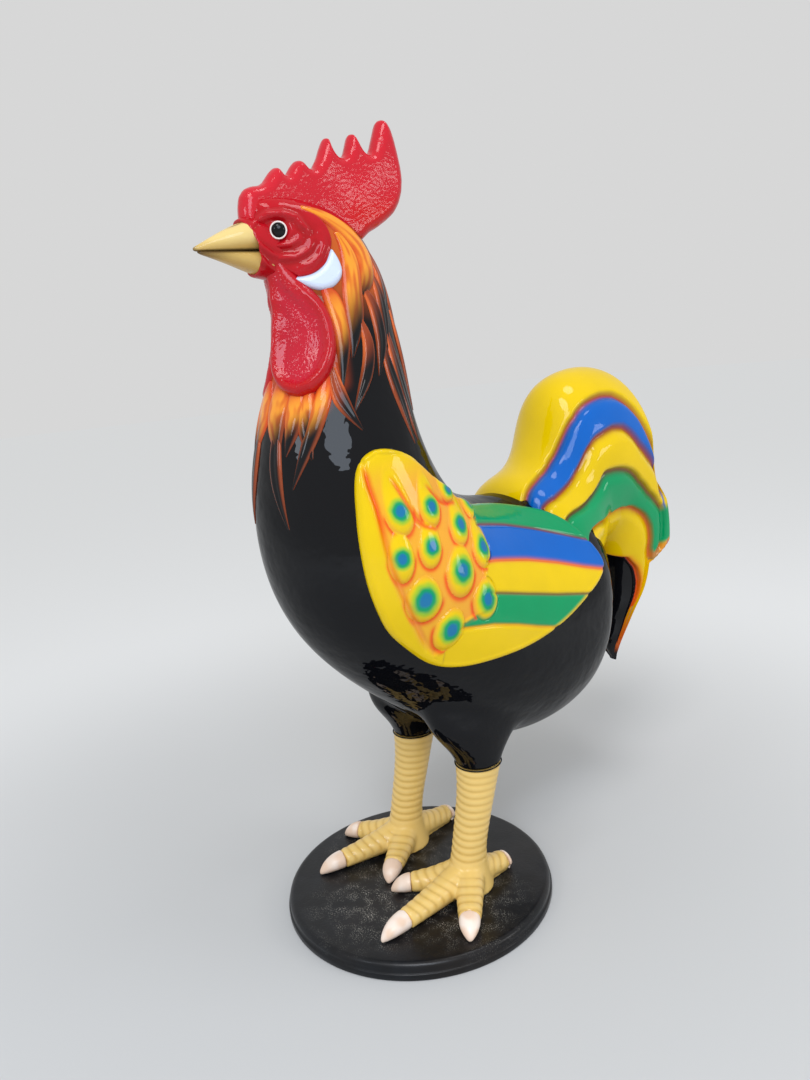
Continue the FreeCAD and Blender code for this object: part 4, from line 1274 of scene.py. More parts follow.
    def muzzle(self) -> bpy.types.Object:
        """Makes the red skin that grows forward over the roots of the beak.

        Returns:
            The skin.
        """
        rows, columns = self.muzzle_grid
        rings = Table(self.muzzle_rings).at(np.linspace(0, len(self.muzzle_rings) - 1, rows))
        turn = turns(columns)
        up, beside = np.cos(turn), np.sin(turn)
        points = np.array([
            np.stack([
                wide * flattened(beside, self.muzzle_power),
                (fore + low_fore) / 2 + (fore - low_fore) / 2 * up + 6 * np.abs(beside) ** 2,
                (top + low) / 2 + (top - low) / 2 * up], -1)
            for fore, low_fore, wide, top, low in rings])
        y, z = points[..., 1], points[..., 2]
        colours = coated(points, RED)
        for line, rise, width in self.muzzle_folds:
            ridge, valley = fold(y, z, line, width, 0.06, 0.5)
            points[..., 0] += (rise * ridge - 0.4 * rise * valley) * beside
            # Painted shade: the sunk valley beside each fold is painted darker red
            colours = paint_over(colours, DEEP_RED * 0.75, 0.5 * valley)
        faces = grid_faces(rows, columns, closed=True)
        thing = make_object("muzzle", points, faces, LACQUER, colours)
        set_outward(thing)
        return thing

    def ear_lobe(self, side: Side) -> bpy.types.Object:
        """Makes the pale crescent behind the face.

        Args:
            side: Side of the bird.

        Returns:
            The lobe.
        """
        grids, rim = outline_grid(self.ear_outline, self.ear_centre, *self.ear_grid)
        rise, width = self.lobe_edge
        height = np.where(rim < 0.2, -self.rim_depth, rise * rounded(rim, width) - self.edge_depth)
        colours = np.broadcast_to(WHITE, (*rim.shape, 3))
        colours = paint_over(colours, LOBE_SHADE, 0.6 * ramp(rim, 4, 0.5))
        thing = lay_disc("ear_relief_" + side.word, side, grids, height, colours)
        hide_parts("ear_lobe_" + side.word)
        return thing

    def wattle(self, side: Side) -> bpy.types.Object:
        """Makes the hanging wattle, pebbled inside a smooth rolled rim.

        Args:
            side: Side of the bird.

        Returns:
            The wattle.
        """
        grids, _ = span_grid(self.wattle_spans, *self.wattle_grid)
        angle = grids[1]
        rim = rim_distance(grids)
        z = BODY.point(*grids)[..., 2]
        full = (9 + 10 * ramp(z, 985, 880)) * (1 - 0.15 * ramp(angle, 150, 178))
        lobe = Relief(grids, rim, full * rounded(rim, self.wattle_edge) - SUNK, RED)
        inner = ramp(rim, 9, 24) * ramp(z, 1000, 930)
        lobe.height = lobe.height * (1 - inner) + (5.0 + 3.0 * ramp(z, 880, 830)) * inner
        if side is Side.RIGHT:
            lobe.height *= 1 - 0.62 * ramp(angle, 118, 142)
        else:
            lobe.height += 4.0 * ramp(angle, 160, 174) * ramp(rim, 0, 5)
        lobe.paint(DEEP_RED, 0.7 * ramp(z, 850, 815))
        lobe.paint(WATTLE_RED, ramp(rim, 11, 22))
        rise, width = self.wattle_crease
        for line in self.wattle_creases:
            distance, share = to_path(lobe.y, z, line)
            lobe.height += rise * bell(distance, width) * np.sin(np.pi * np.clip(share, 0.1, 0.95))
        lobe.height += 0.55 * (pebbles(lobe.points, self.wattle_pebble) - 0.5) * ramp(rim, 8, 13)
        lobe.height += 1.4 * grain(lobe.points, 24.0) * ramp(rim, 2, 12)
        height = np.where(rim < 0.5, -SUNK, lobe.height)
        thing = lay_patch("wattle_relief_" + side.word, side, grids, height, lobe.colours, COMB_GLOSS)
        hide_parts("wattle_" + side.word)
        return thing

    def eye_parts(self, side: Side) -> None:
        """Makes the black dome and the white ring round it.

        Args:
            side: Side of the bird.
        """
        rib, angle = (np.array(number) for number in self.eye_place)
        outward = BODY.outward(rib, angle)
        centre = BODY.point(rib, angle) + outward * self.eye_stand
        up = np.array([0.0, 0.0, 1.0])
        up -= outward * up.dot(outward)
        up /= np.linalg.norm(up)
        turn = turns(64)
        ring = np.cos(turn)[:, None] * up + np.sin(turn)[:, None] * np.cross(up, outward)
        lean = np.linspace(0, np.pi / 2, 26)
        tube = np.append(turns(20), 0.0)
        radius, high, thick = self.eye_ring
        for name, node, reach, height, finish, slot, colour, away in (
            ("eye_dome_", "eye_", self.eye_radius * np.cos(lean), self.eye_height * np.sin(lean),
             BLACK_LACQUER, "black_lacquer", EYE_BLACK, Side.LEFT),
            ("eye_hoop_", "eye_ring_", radius + thick * np.cos(tube), high + thick * np.sin(tube),
             LACQUER, "white_lacquer", EYE_WHITE, Side.RIGHT),
        ):
            points = on_side(side, centre + ring * reach[:, None, None] + outward * height[:, None, None])
            faces = grid_faces(len(points), len(turn), closed=True, flip=side is away)
            thing = make_object(name + side.word, points, faces, finish, coated(points, colour))
            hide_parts(node + side.word)


class LockPaint(Enum):
    """How a lock is painted: filled with orange, or dark with bright edges."""

    FILLED = 0
    EDGED = 1


@dataclass
class Locks:
    """Raised neck feathers, each a tapered ribbon laid on the skin.

    The places are rib, angle and width share; then come the paint, where the dark starts and the rise.
    """

    width: float = 26.0
    places: dict = field(default_factory=lambda: {
        "crown": (
            ((16.0, 94, 0.5), (15.5, 76, 1.2), (14.6, 62, 1.6), (13.9, 61, 1.5), (13.3, 70, 1.1), (12.8, 88, 0.1)),
            LockPaint.FILLED, 0.8, 6.0),
        "ear": (
            ((14.9, 80, 0.4), (14.2, 80, 1.0), (13.6, 85, 1.2), (12.9, 91, 1.3), (12.2, 94, 1.1), (11.4, 101, 0.1)),
            LockPaint.FILLED, 0.66, 6.5),
        "cheek": (
            ((13.3, 118, 0.4), (12.9, 112, 1.0), (12.2, 108, 1.0), (11.6, 108, 0.8), (10.8, 111, 0.1)),
            LockPaint.FILLED, 0.6, 6.0),
        "side": (
            ((13.1, 78, 0.3), (12.5, 70, 0.8), (11.7, 69, 0.9), (11.2, 73, 0.7), (10.7, 79, 0.1)),
            LockPaint.EDGED, 0.25, 7.0),
        "curl": (
            ((12.4, 90, 0.2), (11.7, 85, 0.7), (11.1, 88, 0.9), (10.7, 94, 0.8), (10.3, 103, 0.1)),
            LockPaint.EDGED, 0.35, 8.0),
        "nape_high": (
            ((14.5, 50, 0.3), (13.6, 43, 0.9), (12.9, 43, 0.9), (12.1, 52, 0.1)),
            LockPaint.EDGED, 0.5, 6.0),
        "nape": (
            ((12.1, 60, 0.3), (10.9, 57, 0.8), (9.9, 53, 0.9), (9.1, 50, 0.7), (8.5, 50, 0.1)),
            LockPaint.EDGED, 0.2, 6.0),
        "throat": (
            ((11.5, 168, 0.8), (11.1, 168, 1.7), (10.7, 168, 1.6), (10.1, 161, 0.1)),
            LockPaint.FILLED, 0.72, 6.0),
        "breast": (
            ((11.3, 124, 0.5), (10.9, 126, 1.1), (10.5, 131, 1.2), (10.1, 138, 0.9), (9.6, 150, 0.1)),
            LockPaint.FILLED, 0.5, 7.0),
        "shoulder": (
            ((11.4, 119, 0.4), (10.9, 115, 0.8), (10.5, 109, 0.7), (9.9, 98, 0.1)),
            LockPaint.EDGED, 0.5, 7.0),
        "collar": (
            ((11.35, 149, 0.6), (10.9, 149, 1.3), (10.5, 150, 1.1), (10.1, 155, 0.1)),
            LockPaint.FILLED, 0.6, 6.0),
        "collar_low": (
            ((11.2, 137, 0.5), (10.8, 139, 1.0), (10.4, 138, 1.0), (9.9, 134, 0.1)),
            LockPaint.FILLED, 0.5, 6.0),
        "drop": (((10.8, 166, 0.4), (10.2, 165, 0.9), (9.7, 162, 0.8), (9.1, 156, 0.1)), LockPaint.EDGED, 0.1, 6.0),
        "hind": (((11.6, 70, 0.3), (10.7, 66, 0.8), (9.6, 59, 0.8), (8.6, 56, 0.1)), LockPaint.EDGED, 0.15, 6.0),
        "nape_mid": (((13.6, 60, 0.3), (12.9, 56, 0.8), (12.0, 58, 0.8), (11.2, 64, 0.1)), LockPaint.EDGED, 0.3, 6.0),
        "back_high": (
            ((14.0, 22, 0.3), (13.0, 20, 0.9), (12.0, 22, 0.9), (11.0, 28, 0.1)),
            LockPaint.EDGED, 0.3, 6.0),
        "back_low": (((12.3, 34, 0.3), (11.2, 32, 0.8), (10.0, 29, 0.9), (8.9, 32, 0.1)), LockPaint.EDGED, 0.2, 6.0),
    })
    in_frame: tuple = ("crown", "ear", "cheek", "side", "curl", "nape_high", "nape", "throat", "breast", "shoulder")
    red_rooted: tuple = ("throat", "breast", "collar", "collar_low", "cheek")
    rows: int = 90
    columns: int = 25
    # Steps of rib and angle over which the skin's scale is taken
    steps: tuple = (0.02, 0.5)
    # Power of the rise along a lock, and the two powers of its rounding across
    bluntness: float = 0.55
    rounding: tuple = (2.4, 0.6)
    # Depth and width of the channel along a dark lock, as shares of its rise and half width
    channel: tuple = (0.28, 0.42)
    edge_depth: float = 1.2
    rim_depth: float = 2.0

    def ribbon(self, places: tuple) -> tuple[np.ndarray, np.ndarray]:
        """Ribs and angles of a ribbon's vertices, square to its middle line on the skin.

        Args:
            places: Rib, angle and width share along the middle line.

        Returns:
            The ribs and the angles.
        """
        row = Table(places).at(np.linspace(0, len(places) - 1, self.rows))
        rib, angle = row[:, 0], row[:, 1]
        half = self.width / 2 * np.clip(row[:, 2], 0.05, 2)
        step, turn = self.steps
        by_rib = (BODY.point(rib + step, angle) - BODY.point(rib - step, angle)) / (2 * step)
        by_angle = (BODY.point(rib, angle + turn) - BODY.point(rib, angle - turn)) / (2 * turn)
        rib_scale, angle_scale = np.linalg.norm(by_rib, axis=1), np.linalg.norm(by_angle, axis=1)
        run_rib = np.gradient(rib) * rib_scale
        run_angle = np.gradient(angle) * angle_scale
        run = np.hypot(run_rib, run_angle)
        across = np.linspace(-1, 1, self.columns)
        ribs = rib[:, None] - (half * run_angle / run / rib_scale)[:, None] * across
        return ribs, angle[:, None] + (half * run_rib / run / angle_scale)[:, None] * across

    def colours(self, name: str, shape: tuple) -> np.ndarray:
        """Airbrushed colours of one lock.

        Args:
            name: Name of the lock.
            shape: Shape of the vertices' array.

        Returns:
            The colours.
        """
        _, paint, dark, _ = self.places[name]
        across = np.linspace(-1, 1, self.columns)
        t = np.linspace(0, 1, self.rows)[:, None]
        edge = ramp(np.abs(across), 0.45, 0.9)[None, :] * np.ones_like(t)
        if paint is LockPaint.EDGED:
            start = paint_over(np.broadcast_to(LOCK_CORE, shape), LOCK_RIM, edge)
        else:
            root = LOCK_RED if name in self.red_rooted else LOCK_ROOT
            ripening = ramp(t, 0.02, 0.4) * np.ones_like(edge)
            start = paint_over(np.broadcast_to(root, shape), LOCK_GOLD, ripening)
            weave = np.stack([across * 14 + 0 * t, t * 26 + 0 * across, 0 * t + 0 * across], -1)
            streak = 0.5 + 0.5 * grain(weave, 5.0, len(name))
            start = paint_over(start, LOCK_STREAK, 0.75 * ramp(streak, 0.42, 0.7))
            start = paint_over(start, LOCK_EDGE, 0.85 * edge)
        fade = ramp(t + 0.1 * across[None, :], dark - 0.22, dark + 0.2) * np.ones_like(edge)
        tip = paint_over(np.broadcast_to(BLACK, shape), LOCK_TIP, edge * (0.75 - 0.45 * t))
        return paint_over(start, tip, fade)

    def build(self, side: Side, name: str) -> bpy.types.Object:
        """Makes one lock of one side.

        Args:
            side: Side of the bird.
            name: Name of the lock.

        Returns:
            The lock.
        """
        places, paint, _, rise = self.places[name]
        ribs, angles = self.ribbon(places)
        across = np.linspace(-1, 1, self.columns)
        t = np.linspace(0, 1, self.rows)[:, None]
        lift = rise * np.sin(np.pi * np.clip(t * 0.86 + 0.09, 0, 1)) ** self.bluntness
        flatness, roundness = self.rounding
        height = lift * np.clip(1 - np.abs(across) ** flatness, 0, 1) ** roundness - self.edge_depth
        if paint is LockPaint.EDGED:
            depth, width = self.channel
            height -= depth * lift * bell(across, width)
        height[:, (0, -1)] = -self.rim_depth
        height[(0, -1), :] = -self.rim_depth
        points = BODY.point(ribs, angles) + BODY.outward(ribs, angles) * height[..., None]
        faces = grid_faces(self.rows, self.columns, flip=side is Side.LEFT)
        thing = make_object(
            "feather_%s_%s" % (side.word, name), on_side(side, points), faces, LACQUER,
            self.colours(name, points.shape))
        if name in self.in_frame:
            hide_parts("lock_%s_%s" % (side.word, name))
        return thing


@dataclass
class Comb:
    """Upright red comb: a thick plate with five spikes and a rounded front lobe, pebbled all over."""

    thickness: float = 34.0
    bevel: float = 3.0
    edge: float = 15.0
    pebble: float = 4.2
    pebble_rise: float = 0.42
    # Height and pitch of the slow waves
    waves: tuple = (1.6, 46.0)
    thinnest: float = 0.4
    voxel: float = 1.6
    corners: int = 620
    outline: tuple = (
        (-172, 1016), (-176, 1039), (-175, 1054), (-172, 1067), (-165, 1076), (-155, 1080), (-145, 1081), (-137, 1085),
        (-131, 1092), (-125, 1099), (-118, 1105), (-113, 1106), (-108, 1101), (-104, 1095), (-101, 1096), (-97, 1101),
        (-91, 1109), (-85, 1115), (-79, 1117), (-73, 1115), (-69, 1110), (-65, 1106), (-59, 1107), (-53, 1115),
        (-47, 1124), (-42, 1135), (-36, 1146), (-32, 1150), (-28, 1146), (-26, 1139), (-22, 1131), (-17, 1125),
        (-11, 1124), (-6, 1127), (-2, 1133), (3, 1146), (7, 1156), (11, 1158), (17, 1152), (22, 1143), (27, 1135),
        (33, 1131), (39, 1134), (44, 1143), (49, 1156), (54, 1169), (58, 1178), (64, 1181), (71, 1177), (77, 1168),
        (82, 1152), (86, 1133), (89, 1116), (90, 1099), (87, 1081), (80, 1065), (70, 1052), (56, 1042), (39, 1032),
        (24, 1025), (10, 1014), (-4, 1008), (-30, 1016), (-60, 1026), (-90, 1032), (-150, 1030), (-160, 1012),
    )

    def plate(self, rim: np.ndarray) -> bpy.types.Mesh:
        """Flat plate over the outline, in even quads.

        Args:
            rim: Points of the outline.

        Returns:
            The plate, lying down, in millimetres.
        """
        curve = bpy.data.curves.new("comb_outline", "CURVE")
        curve.dimensions = "2D"
        curve.fill_mode = "BOTH"
        curve.extrude = self.thickness / 2 - self.bevel
        spline = curve.splines.new("POLY")
        spline.points.add(len(rim) - 1)
        corners = np.concatenate([rim, np.zeros((len(rim), 1)), np.ones((len(rim), 1))], 1)
        spline.points.foreach_set("co", corners.ravel())
        spline.use_cyclic_u = True
        flat = bpy.data.objects.new("comb_outline", curve)
        bpy.context.scene.collection.objects.link(flat)
        mesh = bpy.data.meshes.new_from_object(flat.evaluated_get(bpy.context.evaluated_depsgraph_get()))
        bpy.data.objects.remove(flat)
        return even_mesh(mesh, self.voxel)

    def build(self) -> bpy.types.Object:
        """Makes the comb as a distance-rounded plate, both faces joined at the rim.

        Returns:
            The comb.
        """
        rim = along_line(np.array(self.outline, float), self.corners)
        for _ in range(6):
            rim = (np.roll(rim, 1, 0) + 2 * rim + np.roll(rim, -1, 0)) / 4
        dense = self.plate(rim)
        y, z, x = mesh_points(dense).T
        depth = np.clip(-signed(y, z, [tuple(p) for p in rim[::3]]), 0, None)
        half = self.thickness / 2 * rounded(depth, self.edge) + self.thinnest
        x = x / (self.thickness / 2 - self.bevel) * half
        whole = np.stack([x, y, z], -1)
        pebbling = self.pebble_rise * (pebbles(whole, self.pebble) - 0.4) * ramp(depth, 0.5, 5)
        high, pitch = self.waves
        x = x + np.sign(x) * ramp(np.abs(x), 0, 4) * (pebbling + high * grain(whole, pitch) * ramp(depth, 4, 16))
        whole = np.stack([x, y, z], -1)
        colours = paint_over(coated(whole, COMB_RED), COMB_ROOT, ramp(z, 1085, 1045) * ramp(y, -60, 20))
        thing = make_object("comb_plate", whole, take_faces(dense), COMB_GLOSS, colours)
        smooth = thing.modifiers.new("soften", "SMOOTH")
        smooth.factor = 0.4
        smooth.iterations = 1
        set_outward(thing)
        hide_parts("comb")
        return thing


@dataclass
class Beak:
    """Cream beak of two halves with a pale root, a dark mouth line and nostrils."""

    root: float = -150.0
    length: float = 96.0
    mouth: float = 998.0
    # Nostril: middle y and z, half length and height, slope, and depth sideways and downward
    nostril: tuple = (-188.0, 1031.0)
    nostril_size: tuple = (9.0, 2.2)
    nostril_slope: float = 0.35
    nostril_depth: tuple = (1.8, 1.2)
    side_power: float = 0.85
    rows: int = 110
    columns: int = 96
    # Share along, low z, high z over the mouth, and half width
    upper: tuple = (
        (-0.20, -1, 34, 20), (0.00, -1, 38.5, 24), (0.14, -1, 40.0, 26.5), (0.30, -1, 36, 25), (0.50, -1, 28.5, 18.5),
        (0.70, -0.5, 19.5, 12), (0.86, 0, 11.5, 7.0), (0.95, 0, 7.0, 4.0), (0.995, 1.2, 4.4, 1.2),
    )
    lower: tuple = (
        (-0.30, -36, 1, 27), (-0.05, -33, 1, 26.5), (0.15, -28, 1, 23.5), (0.38, -20, 1, 18), (0.60, -12.5, 1, 12),
        (0.80, -6.5, 0.8, 6.5), (0.90, -3.5, 0.6, 3.6), (0.94, -1.6, 0.2, 1.2),
    )

    def rings(self, sections: tuple, squareness: float) -> np.ndarray:
        """Rings of vertices of one half.

        Args:
            sections: Share along, low z, high z over the mouth, and half width.
            squareness: Power that flattens the top and bottom.

        Returns:
            The rings, from the root to the tip.
        """
        turn = turns(self.columns)
        up, beside = np.cos(turn), np.sin(turn)
        flat = flattened(up, squareness)
        return np.array([
            np.stack([
                wide * flattened(beside, self.side_power), np.full_like(turn, self.root - place * self.length),
                self.mouth + (low + high) / 2 + (high - low) / 2 * flat], -1)
            for place, low, high, wide in Table(sections).at(np.linspace(0, len(sections) - 1, self.rows))])

    def finish(self, name: str, node: str, points: np.ndarray, colours: np.ndarray) -> bpy.types.Object:
        """Makes one half from its rings.

        Args:
            name: Object name.
            node: Node of the frame it stands for.
            points: The rings.
            colours: Their colours.

        Returns:
            The half.
        """
        share = (self.root - points[..., 1]) / self.length
        colours = paint_over(colours, BEAK_TIP, 0.8 * ramp(share, 0.93, 1.02))
        rows, columns = points.shape[:2]
        faces = grid_faces(rows, columns, closed=True, flip=True)
        faces.append(tuple(range((rows - 1) * columns, rows * columns))[::-1])
        thing = make_object(name, points, faces, BEAK_GLOSS, colours)
        set_outward(thing)
        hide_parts(node)
        return thing

    def build(self) -> None:
        """Makes both halves, with nostrils on the upper one and a dark line at the mouth."""
        points = self.rings(self.upper, 0.9)
        y = points[..., 1]
        share = (self.root - y) / self.length
        middle_y, middle_z = self.nostril
        ahead = y - middle_y
        long, high = self.nostril_size
        slit = np.hypot(ahead / long, (points[..., 2] - middle_z - self.nostril_slope * ahead) / high)
        inward, downward = self.nostril_depth
        colours = coated(points, BEAK_CREAM)
        points[..., 0] -= np.sign(points[..., 0]) * inward * bell(slit, 1) * (np.abs(points[..., 0]) > 3)
        beside = np.abs(points[..., 0]) > 3
        points[..., 2] -= downward * bell(slit, 1) * beside
        over = points[..., 2] - self.mouth
        colours = paint_over(colours, NOSTRIL, 0.95 * bell(slit * 1.1, 1) * beside)
        colours = paint_over(colours, BEAK_SHADE, ramp(over, 16, 4) * 0.7)
        colours = paint_over(colours, MOUTH_BROWN, 0.9 * ramp(over, 3.0, 0.4) * ramp(share, 0.02, 0.1))
        self.finish("bill_upper", "beak_upper", points, colours)
        points = self.rings(self.lower, 1.0)
        over = points[..., 2] - self.mouth
        share = (self.root - points[..., 1]) / self.length
        colours = coated(points, BEAK_LOWER)
        # Painted shade: the top of the lower half, below the mouth and towards the tip, is painted darker brown
        colours = paint_over(colours, LOWER_BILL_SHADE, 0.7 * ramp(over, -14, -4) * ramp(share, 0.3, 0.8))
        colours = paint_over(colours, MOUTH_BROWN, 0.9 * ramp(over, -5.0, -1.0))
        self.finish("bill_lower", "beak_lower", points, colours)


@dataclass
class Tail:
    """Arched tail of stepped, rounded colour ribbons over a black hollow."""

    rise: float = 8.0
    rows: int = 340
    columns: int = 400
    ribs: tuple = (
        (0.073, -0.072, 0.367, -0.288, 1.434), (0.09, 0.026, 0.408, -0.261, 1.27),
        (0.186, 0.074, 0.459, -0.234, 1.12), (0.262, 0.162, 0.49, -0.216, 1), (0.318, 0.288, 0.506, -0.204, 0.978),
        (0.42, 0.344, 0.527, -0.198, 1), (0.551, 0.351, 0.543, -0.195, 1), (0.699, 0.306, 0.559, -0.202, 0.978),
        (0.832, 0.204, 0.576, -0.225, 0.957), (0.922, 0.074, 0.588, -0.261, 0.935),
        (0.962, -0.073, 0.594, -0.306, 0.891), (0.966, -0.195, 0.598, -0.36, 0.826),
        (0.928, -0.325, 0.596, -0.423, 0.717), (0.84, -0.425, 0.59, -0.477, 0.587),
        (0.775, -0.518, 0.588, -0.532, 0.435), (0.71, -0.595, 0.59, -0.59, 0.283),
        (0.655, -0.66, 0.638, -0.655, 0.03),
    )
    saddle: tuple = (0.333, 0.600)
    scale: tuple = (490.0, 555.0, 184.0)
    # Colour lines as rib and angle
    lines: tuple = (
        ((0, 28), (1.0, 28), (1.9, 26), (2.5, 28), (3.04, 33), (3.5, 38), (3.95, 43), (4.4, 44), (5.4, 44.5),
         (5.87, 46), (6.23, 50), (6.63, 56.5), (7.07, 66), (7.53, 74), (8.1, 84.5), (9.0, 93)),
        ((0, 42), (0.8, 44), (1.36, 50), (2.04, 52), (2.72, 56), (3.32, 62), (3.9, 67), (4.6, 69.5), (5.28, 69.5),
         (5.83, 71), (6.23, 75), (6.7, 81), (7.27, 84), (7.77, 84.7), (8.17, 86), (9.0, 94.5)),
        ((0, 60), (0.72, 64.5), (1.6, 72), (2.36, 77), (3.44, 88), (4.56, 94.5), (5.5, 98), (6.2, 100.5),
         (7, 104.5), (7.87, 104.5), (8.6, 100.5), (9.03, 96.5), (9.6, 97), (10.23, 99), (10.6, 105)),
        ((0, 90), (0.88, 92.5), (1.44, 95), (1.88, 98), (2.9, 112), (4.24, 127), (6.2, 128.5), (7.52, 123.5),
         (8.32, 119), (9.13, 116), (9.67, 116), (10.17, 118), (10.8, 117), (16, 113)),
        ((0, 175), (9.0, 175), (9.45, 160), (9.83, 146.5), (10.67, 136), (11.47, 129.5), (12.37, 125.5),
         (13.37, 122.5), (14.33, 121.5), (15.63, 123)),
    )
    # Tone and width of each line, and the ribs over which it fades away
    line_tones: tuple = (
        ((176, 70, 36), 3.0, (8.9, 8.1)), ((160, 66, 34), 3.6, (8.9, 8.1)), ((118, 62, 34), 3.2, (10.6, 10.3)),
        ((206, 92, 30), 3.8, (10.7, 10.5)), ((226, 72, 14), 10.0, None),
    )
    green_end: tuple = (10.5, 10.85)
    last_angle: float = 117.0
    flat_angle: float = 90.0
    far_shift: tuple = (15, 9)
    # Half width from which the ribbons have their full relief
    full_half: float = 46.0
    # Widths of a groove below and above its line, and the hollow's least depth and what is added where it is wide
    groove_widths: tuple = (10.0, 3.5)
    hollow: tuple = (4.0, 12.0)

    def table(self) -> tuple:
        """Ribs in millimetres.

        Returns:
            Back y, z, front y, z and half width of each rib.
        """
        length, height, width = self.scale
        corner = self.saddle[0] * 600, self.saddle[1] * 1000
        y, z = corner
        return tuple(
            (y + a * length, z + b * height, y + c * length, z + d * height, w * width / 2)
            for a, b, c, d, w in self.ribs)

    def dress(self, rib: np.ndarray, turned: np.ndarray, edges: list, per_degree: np.ndarray) -> np.ndarray:
        """Colour bands with airbrushed lines between them.

        Args:
            rib: Ribs of the vertices.
            turned: Their angles from the top, on either side.
            edges: Angle of each colour line at each vertex.
            per_degree: Millimetres to a degree.

        Returns:
            The colours.
        """
        colours = np.broadcast_to(YELLOW, (*rib.shape, 3)).copy()
        for number, colour in enumerate((BLUE, YELLOW, GREEN, YELLOW, BLACK)):
            distance = (turned - edges[number]) * per_degree
            colours = paint_over(colours, colour, ramp(distance, -1.4, 1.4))
            if number == 3:
                colours = paint_over(colours, TAIL_AMBER, ramp(distance, -1, 1) * ramp(rib, 10.5, 15.5))
        for valley, (tone, wide, fading) in zip(edges, self.line_tones):
            distance = (turned - valley) * per_degree
            shape = bell(distance, np.where(distance > 0, wide * 1.3, wide))
            lasting = ramp(rib, *fading) if fading else distance < 2.0
            colours = paint_over(colours, srgb(*tone), 0.9 * shape * lasting)
        step = ramp(rib, 10.1, 10.5) * ramp(rib, 11.0, 10.6) * (turned < edges[3])
        colours = paint_over(colours, TAIL_STEP, 0.7 * step)
        colours = paint_over(colours, GREEN, ramp(rib, 9.0, 9.3) * ramp(rib, 10.45, 10.3) * (turned < edges[3] - 4))
        colours = paint_over(colours, TAIL_FLAME, 0.9 * ramp(rib, 12.0, 14.6) * (turned < edges[4]))
        return paint_over(colours, BLACK, ramp(rib, 15.0, 15.6))

    def build(self) -> bpy.types.Object:
        """Makes the whole tail.

        Returns:
            The tail.
        """
        surface = Ribs(self.table())
        last = len(self.ribs) - 1
        rows, columns = self.rows, self.columns
        round_degrees = np.linspace(0, 360, columns, endpoint=False)
        rib, angle = np.meshgrid(np.linspace(0, last, rows), round_degrees, indexing="ij")
        far = angle > 180
        turned = np.where(far, 360 - angle, angle)
        half = surface.table.at(rib)[..., 4]
        narrow = np.minimum(1.0, half / self.full_half)
        per_degree = np.maximum(half, 8) * np.pi / 180 * 1.2
        curves = [np.array(line, float) for line in self.lines]
        edges = [np.interp(rib, line[:, 0], line[:, 1]) for line in curves]
        for number, shift in enumerate(self.far_shift):
            edges[number] = edges[number] + shift * far * ramp(rib, 5.2, 4.2)
        edges[2] = np.where(rib > self.green_end[1] - 0.1, edges[3], edges[2])
        height = np.full(rib.shape, self.rise)
        for number, valley in enumerate(edges):
            distance = (turned - valley) * per_degree
            step = bell(distance, np.where(distance > 0, *self.groove_widths))
            lasting = ramp(rib, 9.2, 8.2) if number < 2 else ramp(rib, 10.7, 10.4) if number == 2 else 1.0
            height -= 1.25 * self.rise * narrow * step * lasting
        least, more = self.hollow
        hollow = self.rise - (least + more * narrow) * ramp(turned - edges[4], 0, 5)
        height = np.where(turned > edges[4], np.minimum(height, hollow), height)
        flat = self.flat_angle
        limit = flat * ramp(rib, 5.4, 8.3) + (self.last_angle - flat) * ramp(rib, *self.green_end)
        cut = turned < limit
        lean = np.where(cut, limit, turned)
        lean = np.where(far, 360 - lean, lean)
        points = surface.point(rib, lean) + surface.outward(rib, lean) * height[..., None]
        points[..., 0] *= np.where(cut, turned / np.maximum(limit, 1), 1.0)
        faces = grid_faces(rows, columns, closed=True)
        faces.append(tuple(range((rows - 1) * columns, rows * columns)))
        faces.append(tuple(range(columns))[::-1])
        colours = self.dress(rib, turned, edges, per_degree)
        thing = make_object("tail_relief", points, faces, LACQUER, colours)
        set_outward(thing)
        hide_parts("tail_shell_left", "tail_shell_right")
        return thing


